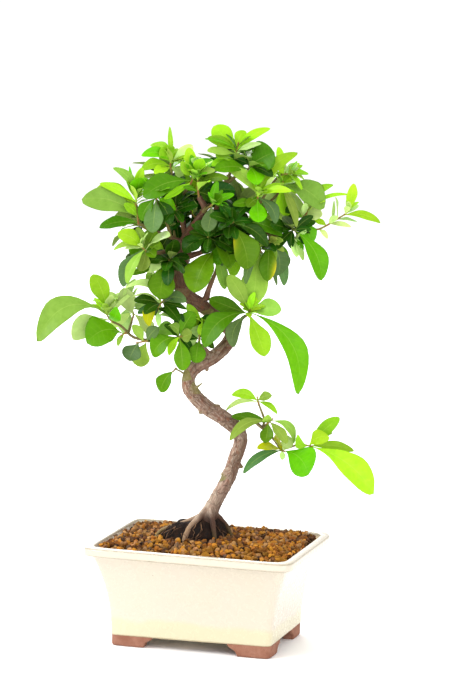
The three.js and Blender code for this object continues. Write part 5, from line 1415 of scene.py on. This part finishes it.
def makeLeafSkin():
    material, tree, shader = startMaterial("firethornLeaf", 0.05)
    place, spot, tone = inMillimetres(tree), stored(tree, "leafPlace"), stored(tree, "leafTone", "Color")
    across, along = mathNode(tree, "ABSOLUTE", addPart(tree, spot, "X")), addPart(tree, spot, "Y")
    top = spread(tree, addPart(tree, spot, "Z"), -0.25, 0.25)
    midrib = spread(tree, times(tree, across, stored(tree, "leafHalf", "Fac")), 0.42, 0.08)
    midrib = times(tree, midrib, timesPlus(tree, spread(tree, along, 0.95, 0.5), 0.8, 0.2))
    slanted = timesPlus(tree, across, bladeLook["slant"], times(tree, along, bladeLook["veinCount"]))
    waved = mathNode(tree, "ABSOLUTE", mathNode(tree, "SUBTRACT", mathNode(tree, "FRACT", slanted), 0.5))
    veins = times(tree, spread(tree, waved, 0.2, 0.0), spread(tree, across, 0.98, 0.4))
    patches, grain = patchesOf(tree, place, 5.0, 0.6), grainOf(tree, place, 0.5, 0.2)
    shaded = mixColours(tree, bladeLook["deepShare"], tone, bladeLook["deep"], "MULTIPLY")
    lighter = mixColours(tree, bladeLook["veinShare"], tone, bladeLook["vein"])
    colour = mixColours(tree, patches, shaded, tone)
    for name, mask in (("midrib", midrib), ("veins", veins)):
        colour = mixColours(tree, times(tree, mask, bladeLook[name]), colour, lighter)
    beneath = mixColours(tree, bladeLook["underShare"], colour, bladeLook["under"])
    dull = timesPlus(tree, patches, bladeLook["uneven"], bladeLook["roughness"])
    feedAll(tree, shader, {
        "Base Color": mixColours(tree, top, beneath, colour),
        "Roughness": timesPlus(tree, top, bladeLook["gloss"], dull),
        "Coat Weight": times(tree, top, bladeLook["coat"]), "Coat Roughness": bladeLook["coatRoughness"],
    })
    ribs = timesPlus(tree, midrib, -0.8, times(tree, veins, -0.35))
    addBump(tree, shader, timesPlus(tree, grain["Height"], 0.25, ribs), *bladeLook["bump"])
    return material


stemLook = {
    "colour": paint(132, 134, 56), "patch": paint(134, 84, 50),
    "patches": (3.0, 0.9), "grain": (0.35, 0.3), "roughness": (0.2, 0.5), "bump": (0.4, 0.1),
}
leafSkin, stemSkin = makeLeafSkin(), makeSkin("youngStem", stemLook)
leafBox = (np.array([list(corner) for corner in cadBox]) - potMiddle) * 1000 + [[0.05], [-0.05]]
fillDraws, leafDraw = steadyDraws(29), random.Random(41)
for name, spray in sprays.items():
    makeSpray(name, spray, fillDraws, leafDraw)
print("sprays:", len(sprays))

studio = {
    "floor": paint(253, 252, 251), "floorSize": 30, "worldLight": 1.08, "aim": (0, 0, 0.18),
    "keyPower": 60, "keySize": 1.6, "keyPlace": (-1.5, -1.3, 2.1),
    "rimPower": 26, "rimSize": 1.4, "rimPlace": (-1.0, 1.5, 1.2),
    "fillPower": 30, "fillSize": 2.0, "fillPlace": (1.8, -1.6, 0.7),
    "cameraPlace": (684.03, -2253.83, 576.6), "turn": 16.67, "tilt": 8.74, "lean": 1.11, "lens": 183.65,
}


def addToScene(name, data):
    added = bpy.data.objects.new(name, data)
    bpy.context.scene.collection.objects.link(added)
    return added


def makeStage():
    size = studio["floorSize"]
    mesh = bpy.data.meshes.new("floor")
    corners = [(-size, -size, 0), (size, -size, 0), (size, size, 0), (-size, size, 0)]
    mesh.from_pydata(corners, [], [(0, 1, 2, 3)])
    material, tree, shader = startMaterial("paleFloor", 0.1)
    feedAll(tree, shader, {"Base Color": studio["floor"], "Roughness": 0.9})
    mesh.materials.append(material)
    addToScene("floor", mesh)
    world = bpy.data.worlds.new("softWhite")
    world.use_nodes = True
    background = world.node_tree.nodes["Background"]
    background.inputs["Color"].default_value = (1, 1, 1, 1)
    background.inputs["Strength"].default_value = studio["worldLight"]
    bpy.context.scene.world = world


def addSoftbox(name):
    light = bpy.data.lights.new(name + "Softbox", "AREA")
    light.energy = studio[name + "Power"]
    light.size = studio[name + "Size"]
    lamp = addToScene(name + "Softbox", light)
    lamp.location = studio[name + "Place"]
    aim = Vector(studio["aim"]) - lamp.location
    lamp.rotation_euler = aim.to_track_quat("-Z", "Y").to_euler()


def addCamera():
    turn, tilt, lean = (math.radians(studio[key]) for key in ("turn", "tilt", "lean"))
    look = Vector((-math.sin(turn) * math.cos(tilt), math.cos(turn) * math.cos(tilt), -math.sin(tilt)))
    level = Vector((math.cos(turn), math.sin(turn), 0))
    upward = level.cross(look)
    side = level * math.cos(lean) + upward * math.sin(lean)
    upright = upward * math.cos(lean) - level * math.sin(lean)
    camera = addToScene("camera", bpy.data.cameras.new("camera"))
    camera.data.lens = studio["lens"]
    camera.data.sensor_width = 36
    camera.data.clip_end = 100
    place = Vector(studio["cameraPlace"]) / 1000 + Vector(potMiddle.tolist())
    camera.matrix_world = Matrix.Translation(place) @ Matrix((side, upright, -look)).transposed().to_4x4()
    bpy.context.scene.camera = camera


makeStage()
for box in ("key", "rim", "fill"):
    addSoftbox(box)
addCamera()
bpy.context.scene.view_settings.view_transform = "Standard"
print("stage, lights and camera set")
